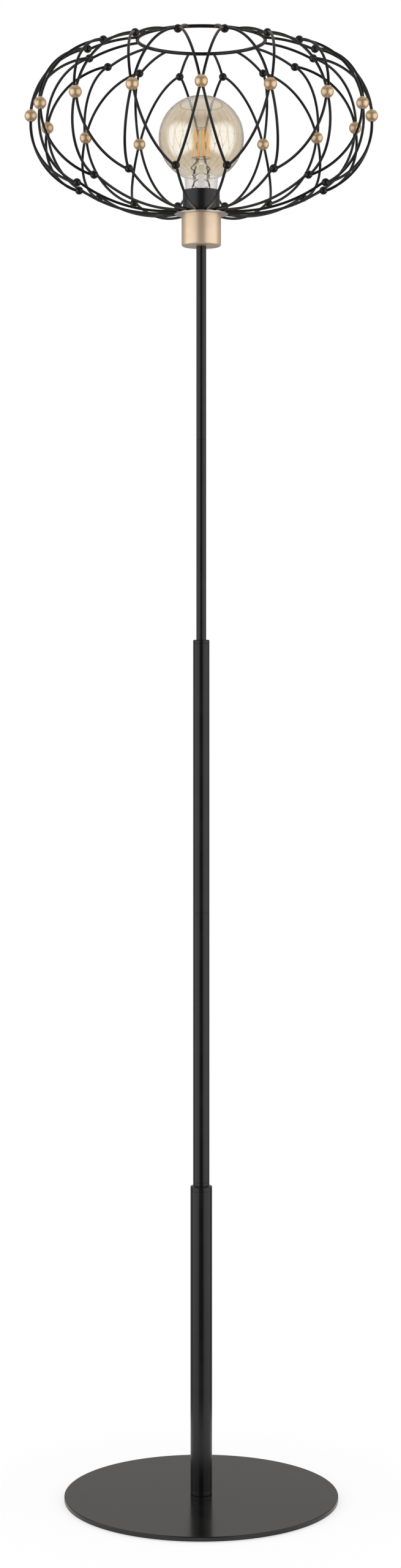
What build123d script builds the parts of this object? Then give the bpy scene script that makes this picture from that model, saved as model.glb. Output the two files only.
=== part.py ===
from build123d import *
import os

# Floor lamp: a round steel base, a pole of three diameters, a cup with a screw lampholder and a cage
# of bent wires and balls around one globe bulb. Millimetres, +Z up, origin on the floor under the pole.
# The front of the lamp faces -Y, and one gold ball of the cage lies there.

# Fits
slip = 0.05             # radial clearance of a screwed, pressed or slipped joint
run = 0.05              # radial clearance between bulb pieces that turn on each other

# Base
base_d = 305.0
base_t = 5.0
base_top_round = 1.0
base_low_round = 0.5
pad_d = 18.0
pad_t = 1.0
pad_circle_d = 264.0
pad_count = 6
bolt_d = 8.0
bolt_head_d = 16.0
bolt_head_h = 4.0
bolt_recess = 0.2
bolt_len = 16.0
bolt_socket_af = 5.0
bolt_socket_h = 2.5

# Pole
lower_od = 24.2
lower_wall = 1.5
lower_len = 333.3
middle_od = 18.2
middle_wall = 1.5
middle_len = 300.0
top_od = 11.0
top_wall = 1.25
top_first_len = 223.0
top_second_len = 215.0
tube_edge = 0.25        # chamfer of the tube ends, which shows as a fine line at each joint
foot_flange_t = 4.5
foot_edge = 0.5
lower_cap_t = 5.3
lower_cap_round = 1.1
middle_foot_t = 2.9
middle_foot_neck_d = 16.4
middle_foot_neck_h = 1.2
middle_foot_stud_d = 12.0
middle_foot_stud_h = 12.0
middle_cap_t = 4.1
middle_cap_round = 1.2
socket_depth = 12.0     # how deep the top tube stands in the middle cap
socket_floor = 2.0
spigot_h = 14.0         # insert length inside a tube
lead_bore_d = 8.0       # way for the lead through the inserts
joiner_len = 30.0
top_joiner_bore_d = 6.2

# Cable inlet at the back of the pole
inlet_rise = 24.0       # above the foot flange
inlet_hole_d = 9.6
inlet_flange_d = 13.0
inlet_bore_d = 6.6
inlet_proud = 1.3
inlet_inner = 1.2
lead_d = 5.0
lead_bend_r = 8.0
core_d = 1.8
core_pitch = 2.4
core_bend_r = 1.2
core_run_up = 1.0       # straight core above the mouth of the nipple
core_bare = 4.0         # core without its sheath below the mouth of the nipple

# Cup and lampholder
nipple_d = 10.0
nipple_len = 14.0
nipple_bore_d = 6.4
cup_od = 44.0
cup_wall = 1.2
cup_h = 35.5
cup_round = 2.2
nut_af = 14.0
nut_t = 3.0
holder_od = 38.4
holder_wall = 1.6
holder_floor = 3.0
holder_boss_wall = 2.5
holder_boss_h = 5.0
holder_ledge = 1.6
holder_ledge_h = 14.5
block_t = 9.0
shell_len = 28.0
shell_wall = 2.0
shell_collar = 3.0
sleeve_id = 26.7
sleeve_wall = 0.4
sleeve_len = 27.0
sleeve_hole_d = 15.0
contact_w = 5.0
contact_t = 0.5
contact_base = 6.0
contact_tip = 3.0
contact_h = 3.4
terminal_x = 8.0
terminal_depth = 4.0
screw_d = 3.0
screw_len = 6.0
screw_head_d = 5.5
screw_head_h = 2.0
screw_slot_w = 0.8
screw_y = 6.0
ring_od = 41.2
ring_h = 25.4
ring_edge = 0.3

# Cage
arm_count = 16
wire_d = 3.0
plate_d = 60.0
plate_t = 1.2
gold_ball_d = 14.0
black_ball_d = 9.2
cage_r = 190.0          # gold ball centres
gold_rise = 107.5       # gold ball centres above the wires on the hub plate
upper_r = 128.2
upper_rise = 69.2       # above the gold balls
lower_r = 140.0
lower_drop = 78.8       # below the gold balls
top_ring_r = 71.2
top_ring_rise = 84.1    # above the gold balls
top_ring_d = 4.0
wire_pitch = 3.3        # between the two wires that share one side of a ball
gold_seat = 5.0         # wire ends above and below the centre of a gold ball
black_seat = 2.9        # wire ends outside the centre of a black ball
upper_wire_bow = 14.6   # how far each wire stands off its chord
lower_wire_bow = 15.0
upper_arm_bow = 2.6
arm_end_r = 21.2        # inner end of a lower arm on the hub plate
arm_flat_r = 45.0       # a lower arm is straight and level up to here

# Bulb
globe_d = 95.0
bulb_len = 137.0
glass_t = 0.9
neck_d = 24.8
neck_in_cap = 6.5
shoulder_d = 35.4
shoulder_h = 5.6
collar_d = 38.2
collar_h = 20.0
neck_round = 4.0
shoulder_round = 2.0
tip_d = 9.5
tip_h = 1.8
insulator_h = 3.4
insulator_face_d = 11.5
cap_d = 26.2
cap_wall = 0.35
cap_len = 23.0
cap_overlap = 1.4       # how far the cap reaches down over the insulator
stem_d = 4.0
stem_head_d = 8.4
stem_head_h = 2.0
stem_flare_d = 10.0
stem_flare_h = 28.5
stem_foot_h = 10.0
stem_len = 81.0
filament_count = 4
filament_d = 1.9
filament_top_r = 6.6
filament_low_r = 10.2
filament_len = 31.0
filament_turn = 20.0
filament_top_gap = 2.4  # filament tops below the top of the stem
strut_d = 0.6
ring_drop = 0.5         # filament ring below the filament ends, measured wire to end
lead_wire_d = 1.2
lead_wire_bend = 0.8
# Bends of the lead wires: distance from the axis, height above the foot of the stem
left_bends = [(9.6, 0.0), (10.8, 12.8), (7.9, 18.8), (8.8, 21.0), (6.8, 24.0), (10.2, 26.9),
              (7.8, 31.1), (11.9, 34.2), (7.8, 39.4), (5.9, 42.4), (5.9, 44.0)]
right_bends = [(9.6, 0.0), (10.5, 14.2), (8.6, 20.4), (6.9, 25.4), (9.7, 27.7), (7.4, 30.8),
               (10.3, 34.5), (5.5, 40.3), (5.5, 44.0)]
board_t = 1.6
board_h = 14.0
board_lift = 0.8
chip_w = 6.0
chip_h = 5.0
chip_t = 3.0
chip_pitch = 8.4        # between the middles of the two components

# Heights, from the floor up
z_plate = pad_t
z_foot = z_plate + base_t
z_lower = z_foot + foot_flange_t
z_lower_cap = z_lower + lower_len
z_neck = z_lower_cap + lower_cap_t
z_middle_foot = z_neck + middle_foot_neck_h
z_middle = z_middle_foot + middle_foot_t
z_middle_joint = z_middle + middle_len
z_middle_cap = z_middle_joint + middle_len
z_top = z_middle_cap + middle_cap_t
z_top_joint = z_top + top_first_len
z_cup = z_top_joint + top_second_len
z_hub = z_cup + cup_h
z_wires = z_hub + plate_t + wire_d / 2
z_gold = z_wires + gold_rise
z_upper = z_gold + upper_rise
z_lower_balls = z_gold - lower_drop
z_top_ring = z_gold + top_ring_rise
z_inlet = z_lower + inlet_rise
z_nut = z_cup + cup_wall
z_holder = z_nut + nut_t
z_block = z_holder + holder_ledge_h
z_shell = z_block + block_t
z_tip = z_shell + contact_h
z_insulator = z_tip + tip_h
z_cap = z_insulator + insulator_h - cap_overlap
z_cap_top = z_cap + cap_len
z_globe = z_tip + bulb_len - globe_d / 2

# Bores worked out from the tubes
lower_id = lower_od - 2 * lower_wall
middle_id = middle_od - 2 * middle_wall
top_id = top_od - 2 * top_wall
pitch_angle = 360 / arm_count


def rod(d, h, z=0.0):
    """Upright cylinder on the axis, standing on height z."""
    return Pos(0, 0, z) * Cylinder(d / 2, h, align=(Align.CENTER, Align.CENTER, Align.MIN))


def tube(od, bore, h, z=0.0):
    return rod(od, h, z) - rod(bore, h, z)


def outer_rim(shape, z):
    """The widest circular edge of a turned shape at height z."""
    rims = [e for e in shape.edges().filter_by(GeomType.CIRCLE) if abs(e.center().Z - z) < 1e-4]
    return max(rims, key=lambda e: e.radius)


def turned(points):
    """Solid of revolution about the pole from (radius, height) points."""
    return revolve(Plane.XZ * make_face(Polyline(*points, close=True)), Axis.Z)


def between(a, b, d):
    """Round bar from point a to point b."""
    line = Line(a, b)
    return sweep(Plane(origin=line @ 0, z_dir=line % 0) * Circle(d / 2), path=line)


def along(path, d):
    """Round wire of diameter d along a path of lines and arcs."""
    return sweep(Plane(origin=path @ 0, z_dir=path % 0) * Circle(d / 2), path=path)


def around(shapes, count, first=0.0):
    """Copies of the given shapes at even angles round the pole."""
    return [Rot(0, 0, first + k * 360 / count) * s for k in range(count) for s in shapes]


def save(name, shape):
    """Write one node. A list becomes a group of separate solids."""
    shape = Compound(children=list(shape)) if isinstance(shape, list) else shape
    export_step(shape, f"parts/{name}.step")
    print(f"{name}: {len(shape.solids())} solids, {shape.volume:.1f} mm3")


# ---- base ----------------------------------------------------------------------------------------

def bolt_cone(clearance):
    """Countersunk head of the base bolt, grown by a clearance for its seat."""
    cone = Cone(
        bolt_head_d / 2 + clearance,
        bolt_d / 2 + clearance,
        bolt_head_h,
        align=(Align.CENTER, Align.CENTER, Align.MIN),
    )
    return Pos(0, 0, z_plate + bolt_recess) * cone


def make_base_plate():
    plate = rod(base_d, base_t, z_plate)
    plate = fillet(outer_rim(plate, z_foot), base_top_round)
    plate = fillet(outer_rim(plate, z_plate), base_low_round)
    plate -= rod(bolt_d + 2 * slip, base_t, z_plate)
    plate -= rod(bolt_head_d + 2 * slip, bolt_recess, z_plate)
    return plate - bolt_cone(slip)


def make_pads():
    pad = Pos(pad_circle_d / 2, 0, 0) * rod(pad_d, pad_t)
    return around([pad], pad_count, 360 / pad_count / 2)


def make_base_bolt():
    z_head = z_plate + bolt_recess
    socket = extrude(RegularPolygon(bolt_socket_af / 2, 6, major_radius=False), bolt_socket_h)
    return bolt_cone(0) + rod(bolt_d, bolt_len, z_head) - Pos(0, 0, z_head) * socket


def make_foot_insert():
    flange = rod(lower_od, foot_flange_t, z_foot)
    flange = chamfer([outer_rim(flange, z_foot), outer_rim(flange, z_lower)], foot_edge)
    insert = flange + rod(lower_id - 2 * slip, spigot_h, z_lower)
    return insert - rod(bolt_d + 2 * slip, bolt_len + bolt_recess + slip - base_t, z_foot)


# ---- pole ----------------------------------------------------------------------------------------

def make_section(od, wall, length, z, edge_low=True, edge_high=True):
    """One length of pole tube with fine chamfers on the ends that show."""
    section = rod(od, length, z)
    ends = [z] * edge_low + [z + length] * edge_high
    section = chamfer([outer_rim(section, end) for end in ends], tube_edge) if ends else section
    return section - rod(od - 2 * wall, length, z)


def make_lower_tube():
    hole = Pos(0, lower_od / 2, z_inlet) * Rot(90, 0, 0) * Cylinder(inlet_hole_d / 2, lower_od / 2)
    return make_section(lower_od, lower_wall, lower_len, z_lower) - hole


def make_grommet(pole):
    """Rubber ring that grips the wall of the pole, seated on its round outside and inside."""
    y_in = lower_od / 2 - lower_wall - inlet_inner
    y_out = lower_od / 2 + inlet_proud
    def barrel(d):
        body = Cylinder(d / 2, y_out - y_in, align=(Align.CENTER, Align.CENTER, Align.MIN))
        return Pos(0, y_in, z_inlet) * Rot(-90, 0, 0) * body
    ring = barrel(inlet_flange_d)
    ring = fillet(ring.edges().filter_by(GeomType.CIRCLE).sort_by(Axis.Y)[-1], inlet_proud / 2)
    return (ring - pole - barrel(inlet_bore_d)).solids().sort_by(SortBy.VOLUME)[-1]


def make_lower_cap():
    flange = rod(lower_od, lower_cap_t, z_lower_cap)
    flange = fillet(outer_rim(flange, z_neck), lower_cap_round)
    flange = chamfer(outer_rim(flange, z_lower_cap), tube_edge)
    cap = flange + rod(lower_id - 2 * slip, spigot_h, z_lower_cap - spigot_h)
    return cap - rod(middle_foot_stud_d + 2 * slip, lower_cap_t + spigot_h, z_lower_cap - spigot_h)


def make_middle_foot():
    """Turned end of the middle tube: stud below, shadow-line neck, flange and spigot."""
    flange = rod(middle_od, middle_foot_t, z_middle_foot)
    flange = chamfer([outer_rim(flange, z_middle_foot), outer_rim(flange, z_middle)], tube_edge)
    foot = flange + rod(middle_foot_neck_d, middle_foot_neck_h, z_neck)
    foot += rod(middle_foot_stud_d, middle_foot_stud_h, z_neck - middle_foot_stud_h)
    foot += rod(middle_id - 2 * slip, spigot_h, z_middle)
    z_stud = z_neck - middle_foot_stud_h
    return foot - rod(lead_bore_d, z_middle + spigot_h - z_stud, z_stud)


def make_middle_cap():
    """Rounded cap of the middle tube with the socket that the top tube stands in."""
    flange = rod(middle_od, middle_cap_t, z_middle_cap)
    flange = fillet(outer_rim(flange, z_top), middle_cap_round)
    flange = chamfer(outer_rim(flange, z_middle_cap), tube_edge)
    depth = socket_depth + socket_floor - middle_cap_t
    cap = flange + rod(middle_id - 2 * slip, depth, z_middle_cap - depth)
    cap -= rod(top_od + 2 * slip, socket_depth, z_top - socket_depth)
    return cap - rod(lead_bore_d, socket_floor, z_middle_cap - depth)


def make_inner_lead():
    """Sheathed two-core lead from behind the grommet, up the pole, into the nipple."""
    y_in = lower_od / 2 - lower_wall - inlet_inner
    z_end = z_cup + nipple_len - core_bare
    path = FilletPolyline((0, y_in, z_inlet), (0, 0, z_inlet), (0, 0, z_end), radius=lead_bend_r)
    return along(path, lead_d)


def make_lead_cores():
    z_start = z_cup + nipple_len - core_bare
    z_mouth = z_cup + nipple_len + core_run_up
    cores = []
    for side in (-1, 1):
        path = FilletPolyline(
            (side * core_pitch / 2, 0, z_start),
            (side * core_pitch / 2, 0, z_mouth),
            (side * terminal_x, 0, z_block - core_bend_r),
            (side * terminal_x, 0, z_block + terminal_depth),
            radius=core_bend_r,
        )
        cores.append(along(path, core_d))
    return cores


# ---- cup and lampholder --------------------------------------------------------------------------

def make_nipple():
    nipple = rod(nipple_d, nipple_len, z_cup) + rod(top_id - 2 * slip, spigot_h, z_cup - spigot_h)
    return nipple - rod(nipple_bore_d, nipple_len + spigot_h, z_cup - spigot_h)


def make_cup():
    cup = rod(cup_od, cup_h, z_cup)
    cup = fillet(outer_rim(cup, z_cup), cup_round)
    bore = rod(cup_od - 2 * cup_wall, cup_h - cup_wall, z_cup + cup_wall)
    bore = fillet(outer_rim(bore, z_cup + cup_wall), cup_round - cup_wall)
    return cup - bore - rod(nipple_d + 2 * slip, cup_wall, z_cup)


def make_cup_nut():
    hexagon = extrude(RegularPolygon(nut_af / 2, 6, major_radius=False), nut_t)
    return Pos(0, 0, z_nut) * hexagon - rod(nipple_d + 2 * slip, nut_t, z_nut)


def make_holder_base():
    bore_d = holder_od - 2 * holder_wall
    body = rod(holder_od, holder_ledge_h + block_t, z_holder)
    body -= rod(bore_d, block_t, z_block)
    body -= rod(bore_d - 2 * holder_ledge, holder_ledge_h - holder_floor, z_holder + holder_floor)
    body += rod(nipple_d + 2 * slip + 2 * holder_boss_wall, holder_boss_h, z_holder + holder_floor)
    return body - rod(nipple_d + 2 * slip, holder_floor + holder_boss_h, z_holder)


def make_terminal_block():
    block = rod(holder_od - 2 * holder_wall - 2 * slip, block_t, z_block)
    for side in (-1, 1):
        block -= Pos(side * terminal_x, 0, 0) * rod(core_d + 2 * slip, terminal_depth, z_block)
        block -= Pos(side * terminal_x, side * screw_y, 0) * rod(screw_d + 2 * slip, screw_len, z_block)
    return block


def make_terminal_screws():
    screws = []
    for side in (-1, 1):
        body = rod(screw_d, screw_len, z_block) + rod(screw_head_d, screw_head_h, z_block - screw_head_h)
        slot = Pos(0, 0, z_block - screw_head_h) * Box(screw_head_d, screw_slot_w, screw_head_h)
        screws.append(Pos(side * terminal_x, side * screw_y, 0) * (body - slot))
    return screws


def make_thread_sleeve():
    sleeve = tube(sleeve_id + 2 * sleeve_wall, sleeve_id, sleeve_len, z_shell)
    return sleeve + tube(sleeve_id + 2 * sleeve_wall, sleeve_hole_d, sleeve_wall, z_shell)


def make_centre_contact():
    """Springy strip that folds back under the tip of the bulb."""
    h, t, b, c = contact_h, contact_t, contact_base, contact_tip
    outline = [(-b, 0), (b, 0), (b, h), (-c, h), (-c, h - t), (b - t, h - t), (b - t, t), (-b, t)]
    strip = extrude(Plane.XZ * make_face(Polyline(*outline, close=True)), contact_w / 2, both=True)
    return Pos(0, 0, z_shell) * strip


def make_holder_shell():
    inner = holder_od - 2 * shell_wall
    shell = tube(holder_od, inner, shell_len, z_shell)
    collar_bore = sleeve_id + 2 * sleeve_wall + 2 * slip
    return shell + tube(holder_od, collar_bore, shell_collar, z_shell + shell_len - shell_collar)


def make_shade_ring():
    """Long black screw ring that clamps the cage to the cup and hides the lampholder."""
    z = z_hub + plate_t
    ring = rod(ring_od, ring_h, z)
    ring = chamfer(outer_rim(ring, z + ring_h), ring_edge)
    return ring - rod(holder_od + 2 * slip, ring_h, z)


# ---- cage ----------------------------------------------------------------------------------------

def at(radius, side, z, angle=0.0):
    """Point at a radius and a sideways offset, turned by an angle about the pole."""
    return Vector(radius, side, z).rotate(Axis.Z, angle)


def bowed(a, b, across, bow):
    """Arc from a to b that stands off its chord by bow, square to the direction across."""
    off = across.cross(b - a).normalized()
    off = off if off.dot(Vector(1, 0, 0)) > 0 else -off
    return ThreePointArc(a, (a + b) / 2 + off * bow, b)


def wire_path(up, side=1):
    """Wire from the gold ball at angle 0 to a black ball half a pitch aside, above or below it."""
    offset = side * wire_pitch / 2
    start = at(cage_r, offset, z_gold + up * gold_seat)
    ball_r, ball_z = (upper_r, z_upper) if up > 0 else (lower_r, z_lower_balls)
    end = at(ball_r + black_seat, -offset, ball_z, side * pitch_angle / 2)
    return bowed(start, end, Vector(0, 1, 0), upper_wire_bow if up > 0 else lower_wire_bow)


def upper_arm_path():
    start = at(upper_r - black_seat, 0, z_upper)
    end = at(top_ring_r, 0, z_top_ring)
    return bowed(start, end, Vector(0, 1, 0), upper_arm_bow)


def lower_arm_path():
    """Level on the hub plate, then one arc up to the lower ball."""
    start = Vector(arm_end_r, 0, z_wires)
    knee = Vector(arm_flat_r, 0, z_wires)
    end = at(lower_r - black_seat, 0, z_lower_balls)
    return Line(start, knee) + TangentArc(knee, end, tangent=(1, 0, 0))


def ball_with_seats(d, centre, seats):
    """Ball drilled where the wires are soldered in."""
    ball = Pos(centre) * Sphere(d / 2)
    for seat in seats:
        ball -= seat
    return ball


def make_cage():
    """All wires and balls, each built once and copied round the pole."""
    half = pitch_angle / 2
    seat_d = wire_d + 2 * slip
    ring = Pos(0, 0, z_top_ring) * Torus(top_ring_r, top_ring_d / 2)
    upper_arm = along(upper_arm_path(), wire_d) - ring
    lower_arm = along(lower_arm_path(), wire_d)
    turn = Rot(0, 0, half)
    back = Rot(0, 0, pitch_angle)
    right_seats = {up: along(wire_path(up), seat_d) for up in (1, -1)}
    left_seats = {up: along(wire_path(up, -1), seat_d) for up in (1, -1)}
    gold_seats = [*right_seats.values(), *left_seats.values()]
    gold = ball_with_seats(gold_ball_d, at(cage_r, 0, z_gold), gold_seats)
    upper_seats = [right_seats[1], back * left_seats[1], turn * along(upper_arm_path(), seat_d)]
    lower_seats = [right_seats[-1], back * left_seats[-1], turn * along(lower_arm_path(), seat_d)]
    upper_ball = ball_with_seats(black_ball_d, at(upper_r, 0, z_upper, half), upper_seats)
    lower_ball = ball_with_seats(black_ball_d, at(lower_r, 0, z_lower_balls, half), lower_seats)
    return {
        "top_ring": ring,
        "upper_arms": around([upper_arm], arm_count, half),
        "upper_right_wires": around([along(wire_path(1), wire_d)], arm_count),
        "upper_left_wires": around([along(wire_path(1, -1), wire_d)], arm_count),
        "lower_right_wires": around([along(wire_path(-1), wire_d)], arm_count),
        "lower_left_wires": around([along(wire_path(-1, -1), wire_d)], arm_count),
        "lower_arms": around([lower_arm], arm_count, half),
        "gold_balls": around([gold], arm_count),
        "upper_balls": around([upper_ball], arm_count),
        "lower_balls": around([lower_ball], arm_count),
    }


# ---- bulb ----------------------------------------------------------------------------------------

def glass_body(inset):
    """Globe and neck as one turned solid, inset evenly for the inside of the glass."""
    z_end = z_cap_top - neck_in_cap
    z_shoulder = z_cap_top + shoulder_h
    neck_r, shoulder_r, collar_r = (d / 2 - inset for d in (neck_d, shoulder_d, collar_d))
    right = [
        (neck_r, z_end),
        (neck_r, z_cap_top),
        (shoulder_r, z_shoulder),
        (collar_r, z_shoulder + collar_h),
    ]
    left = [(-r, z) for r, z in reversed(right)]
    outline = Pos(0, z_globe) * Circle(globe_d / 2 - inset) + make_face(Polyline(*right, *left, close=True))
    outline = fillet([v for v in outline.vertices() if v.Y > z_shoulder + slip], neck_round)
    outline = fillet([v for v in outline.vertices() if abs(v.Y - z_shoulder) < slip], shoulder_round)
    half = Pos(globe_d, z_globe) * Rectangle(2 * globe_d, 4 * globe_d)
    return revolve(Plane.XZ * (outline & half), Axis.Z)


def make_stem():
    """Pressed glass stem: foot in the neck, flare, column and flat head."""
    z_foot_glass = z_cap_top - neck_in_cap
    foot_r = neck_d / 2 - glass_t - slip
    z_top_glass = z_foot_glass + stem_len
    column = [
        (0, z_foot_glass),
        (foot_r, z_foot_glass),
        (foot_r, z_foot_glass + glass_t),
        (stem_flare_d / 2, z_foot_glass + stem_foot_h),
        (stem_d / 2, z_foot_glass + stem_foot_h + stem_flare_h),
        (stem_d / 2, z_top_glass - stem_head_h),
        (stem_head_d / 2, z_top_glass - stem_head_h),
        (stem_head_d / 2, z_top_glass),
        (0, z_top_glass),
    ]
    return turned(column)


def filament_ends():
    """Top and bottom point of the first filament."""
    z_high = z_cap_top - neck_in_cap + stem_len - filament_top_gap
    drop = (filament_len**2 - (filament_low_r - filament_top_r) ** 2) ** 0.5
    return Vector(filament_top_r, 0, z_high), Vector(filament_low_r, 0, z_high - drop)


def make_filaments():
    high, low = filament_ends()
    return around([between(high, low, filament_d)], filament_count, filament_turn)


def filament_ring_z():
    _, low = filament_ends()
    return low.Z - strut_d / 2 - ring_drop


def make_filament_ring():
    return Pos(0, 0, filament_ring_z()) * Torus(filament_low_r, strut_d / 2)


def make_struts(stem, filaments, ring):
    """Fine wires that hold each filament: one at the head of the stem and one on the ring below."""
    high, _ = filament_ends()
    z_ring = filament_ring_z()
    tops = between(Vector(0, 0, high.Z - strut_d), high - Vector(0, 0, strut_d), strut_d)
    spokes = between(Vector(0, 0, z_ring), Vector(filament_low_r, 0, z_ring), strut_d)
    struts = []
    for piece in around([tops, spokes], filament_count, filament_turn):
        for other in [stem, ring, *filaments]:
            piece = piece - other
        struts.append(piece.solids().sort_by(SortBy.VOLUME)[-1])
    return struts


def make_lead_wires(stem):
    """Two crinkled wires beside the flare of the stem, up to the spokes of the filament ring."""
    z_low = z_cap_top - neck_in_cap + glass_t
    wires = []
    for side, bends in ((-1, left_bends), (1, right_bends)):
        *points, (last_r, _) = [(side * r, z_low + rise) for r, rise in bends]
        path = [(x, 0, z) for x, z in points] + [(last_r, 0, filament_ring_z() - strut_d / 2 - slip)]
        wire = Rot(0, 0, filament_turn) * along(FilletPolyline(*path, radius=lead_wire_bend), lead_wire_d)
        wires.append((wire - stem).solids().sort_by(SortBy.VOLUME)[-1])
    return wires


def make_driver_board():
    """Small board with two components, held on edge inside the cap."""
    z = z_insulator + insulator_h + board_lift
    width = cap_d - 2 * cap_wall - 2 * run - board_t / 2
    board = Pos(0, 0, z) * Box(width, board_t, board_h, align=(Align.CENTER, Align.CENTER, Align.MIN))
    for side in (-1, 1):
        chip = Box(chip_w, chip_t, chip_h, align=(Align.CENTER, Align.MIN, Align.MIN))
        board += Pos(side * chip_pitch / 2, board_t / 2, z + chip_h / 2) * chip
    return board


def make_bulb():
    """Bulb pieces. The tip and insulator only rise, and all the others also turn."""
    lift_r = cap_d / 2 - cap_wall - run
    tip = rod(tip_d, tip_h, z_tip)
    tip = chamfer(outer_rim(tip, z_tip), tip_h / 2)
    z_seat = z_insulator + insulator_h - cap_overlap
    insulator = turned([
        (0, z_insulator),
        (insulator_face_d / 2, z_insulator),
        (lift_r, z_seat),
        (lift_r, z_seat + cap_overlap),
        (0, z_seat + cap_overlap),
    ])
    glass = glass_body(0) - glass_body(glass_t)
    stem = make_stem()
    filaments = make_filaments()
    ring = make_filament_ring()
    return {
        "bulb_contact": tip,
        "bulb_insulator": insulator,
        "bulb_cap": tube(cap_d, cap_d - 2 * cap_wall, cap_len, z_cap),
        "bulb_glass": glass,
        "bulb_stem": stem,
        "filaments": filaments,
        "filament_ring": ring,
        "filament_struts": make_struts(stem, filaments, ring),
        "lead_wires": make_lead_wires(stem),
        "driver_board": make_driver_board(),
    }


# ---- all nodes -----------------------------------------------------------------------------------

def make_nodes():
    lower_tube = make_lower_tube()
    nodes = {
        "felt_pads": make_pads(),
        "base_plate": make_base_plate(),
        "base_bolt": make_base_bolt(),
        "foot_insert": make_foot_insert(),
        "lower_tube": lower_tube,
        "cable_grommet": make_grommet(lower_tube),
        "lower_cap": make_lower_cap(),
        "middle_foot": make_middle_foot(),
        "middle_tube_lower": make_section(middle_od, middle_wall, middle_len, z_middle),
        "middle_tube_upper": make_section(middle_od, middle_wall, middle_len, z_middle_joint),
        "middle_joiner": tube(middle_id - 2 * slip, lead_bore_d, joiner_len, z_middle_joint - joiner_len / 2),
        "middle_cap": make_middle_cap(),
        "top_tube_lower": make_section(
            top_od, top_wall, socket_depth + top_first_len, z_top - socket_depth, edge_low=False
        ),
        "top_tube_upper": make_section(top_od, top_wall, top_second_len, z_top_joint, edge_high=False),
        "top_joiner": tube(top_id - 2 * slip, top_joiner_bore_d, joiner_len, z_top_joint - joiner_len / 2),
        "inner_lead": make_inner_lead(),
        "lead_cores": make_lead_cores(),
        "holder_nipple": make_nipple(),
        "cup": make_cup(),
        "cup_nut": make_cup_nut(),
        "holder_base": make_holder_base(),
        "terminal_block": make_terminal_block(),
        "terminal_screws": make_terminal_screws(),
        "thread_sleeve": make_thread_sleeve(),
        "centre_contact": make_centre_contact(),
        "holder_shell": make_holder_shell(),
        "hub_plate": tube(plate_d, holder_od + 2 * slip, plate_t, z_hub),
        "shade_ring": make_shade_ring(),
    }
    return {**nodes, **make_cage(), **make_bulb()}


os.makedirs("parts", exist_ok=True)
for node_name, node_shape in make_nodes().items():
    save(node_name, node_shape)
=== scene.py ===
"""Dresses the wire cage floor lamp: smooth turned metal, bent wire cage, glass bulb and studio.

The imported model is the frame. Each piece below takes its place and its main sizes from the frame's
nodes, rides on the body of the node that it stands for, and gets a procedural finish. All lengths are
metres, +Z is up, the front of the lamp faces -Y, and the pole stands on the Z axis.
"""

from __future__ import annotations

import logging
import math
from dataclasses import dataclass
from enum import Enum
from typing import Any, Optional, Sequence, Union

import bmesh
import bpy
from mathutils import Matrix, Vector

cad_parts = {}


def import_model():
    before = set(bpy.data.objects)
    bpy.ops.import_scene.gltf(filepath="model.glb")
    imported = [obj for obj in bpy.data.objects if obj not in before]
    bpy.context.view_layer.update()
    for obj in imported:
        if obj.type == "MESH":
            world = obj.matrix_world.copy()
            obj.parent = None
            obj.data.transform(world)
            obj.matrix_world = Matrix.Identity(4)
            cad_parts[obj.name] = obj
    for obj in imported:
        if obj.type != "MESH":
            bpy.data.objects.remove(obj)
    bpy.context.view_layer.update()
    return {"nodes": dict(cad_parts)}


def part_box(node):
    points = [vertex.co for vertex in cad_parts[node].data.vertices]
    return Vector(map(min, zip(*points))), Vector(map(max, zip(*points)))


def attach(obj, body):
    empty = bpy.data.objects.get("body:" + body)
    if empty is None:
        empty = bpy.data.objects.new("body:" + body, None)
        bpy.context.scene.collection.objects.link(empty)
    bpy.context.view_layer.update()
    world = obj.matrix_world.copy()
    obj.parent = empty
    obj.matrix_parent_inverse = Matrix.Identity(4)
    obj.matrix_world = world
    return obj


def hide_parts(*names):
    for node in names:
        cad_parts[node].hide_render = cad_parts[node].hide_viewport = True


LOG = logging.getLogger("lamp")

MM = 0.001
TURN = 2 * math.pi
UP = Vector((0, 0, 1))
ACROSS = Vector((0, 1, 0))
OUTWARDS = Vector((1, 0, 0))
CREASE = math.radians(32)  # Edges that bend more than this stay sharp.
SUPPORT = 0.25 * MM  # Distance of the extra point beside a rounding.
TINY = 1e-6  # Points nearer to the axis than this lie on it.
WELD = 1e-7  # Points nearer to each other than this are merged.

Piece = bpy.types.Object
Point2 = tuple[float, float]
Point3 = tuple[float, float, float]
Corner = tuple[float, float, float]
Colour = tuple[float, float, float]
Range = tuple[float, float]

WHITE: Colour = (1.0, 1.0, 1.0)


# ---- node graphs ---------------------------------------------------------------------------------


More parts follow.
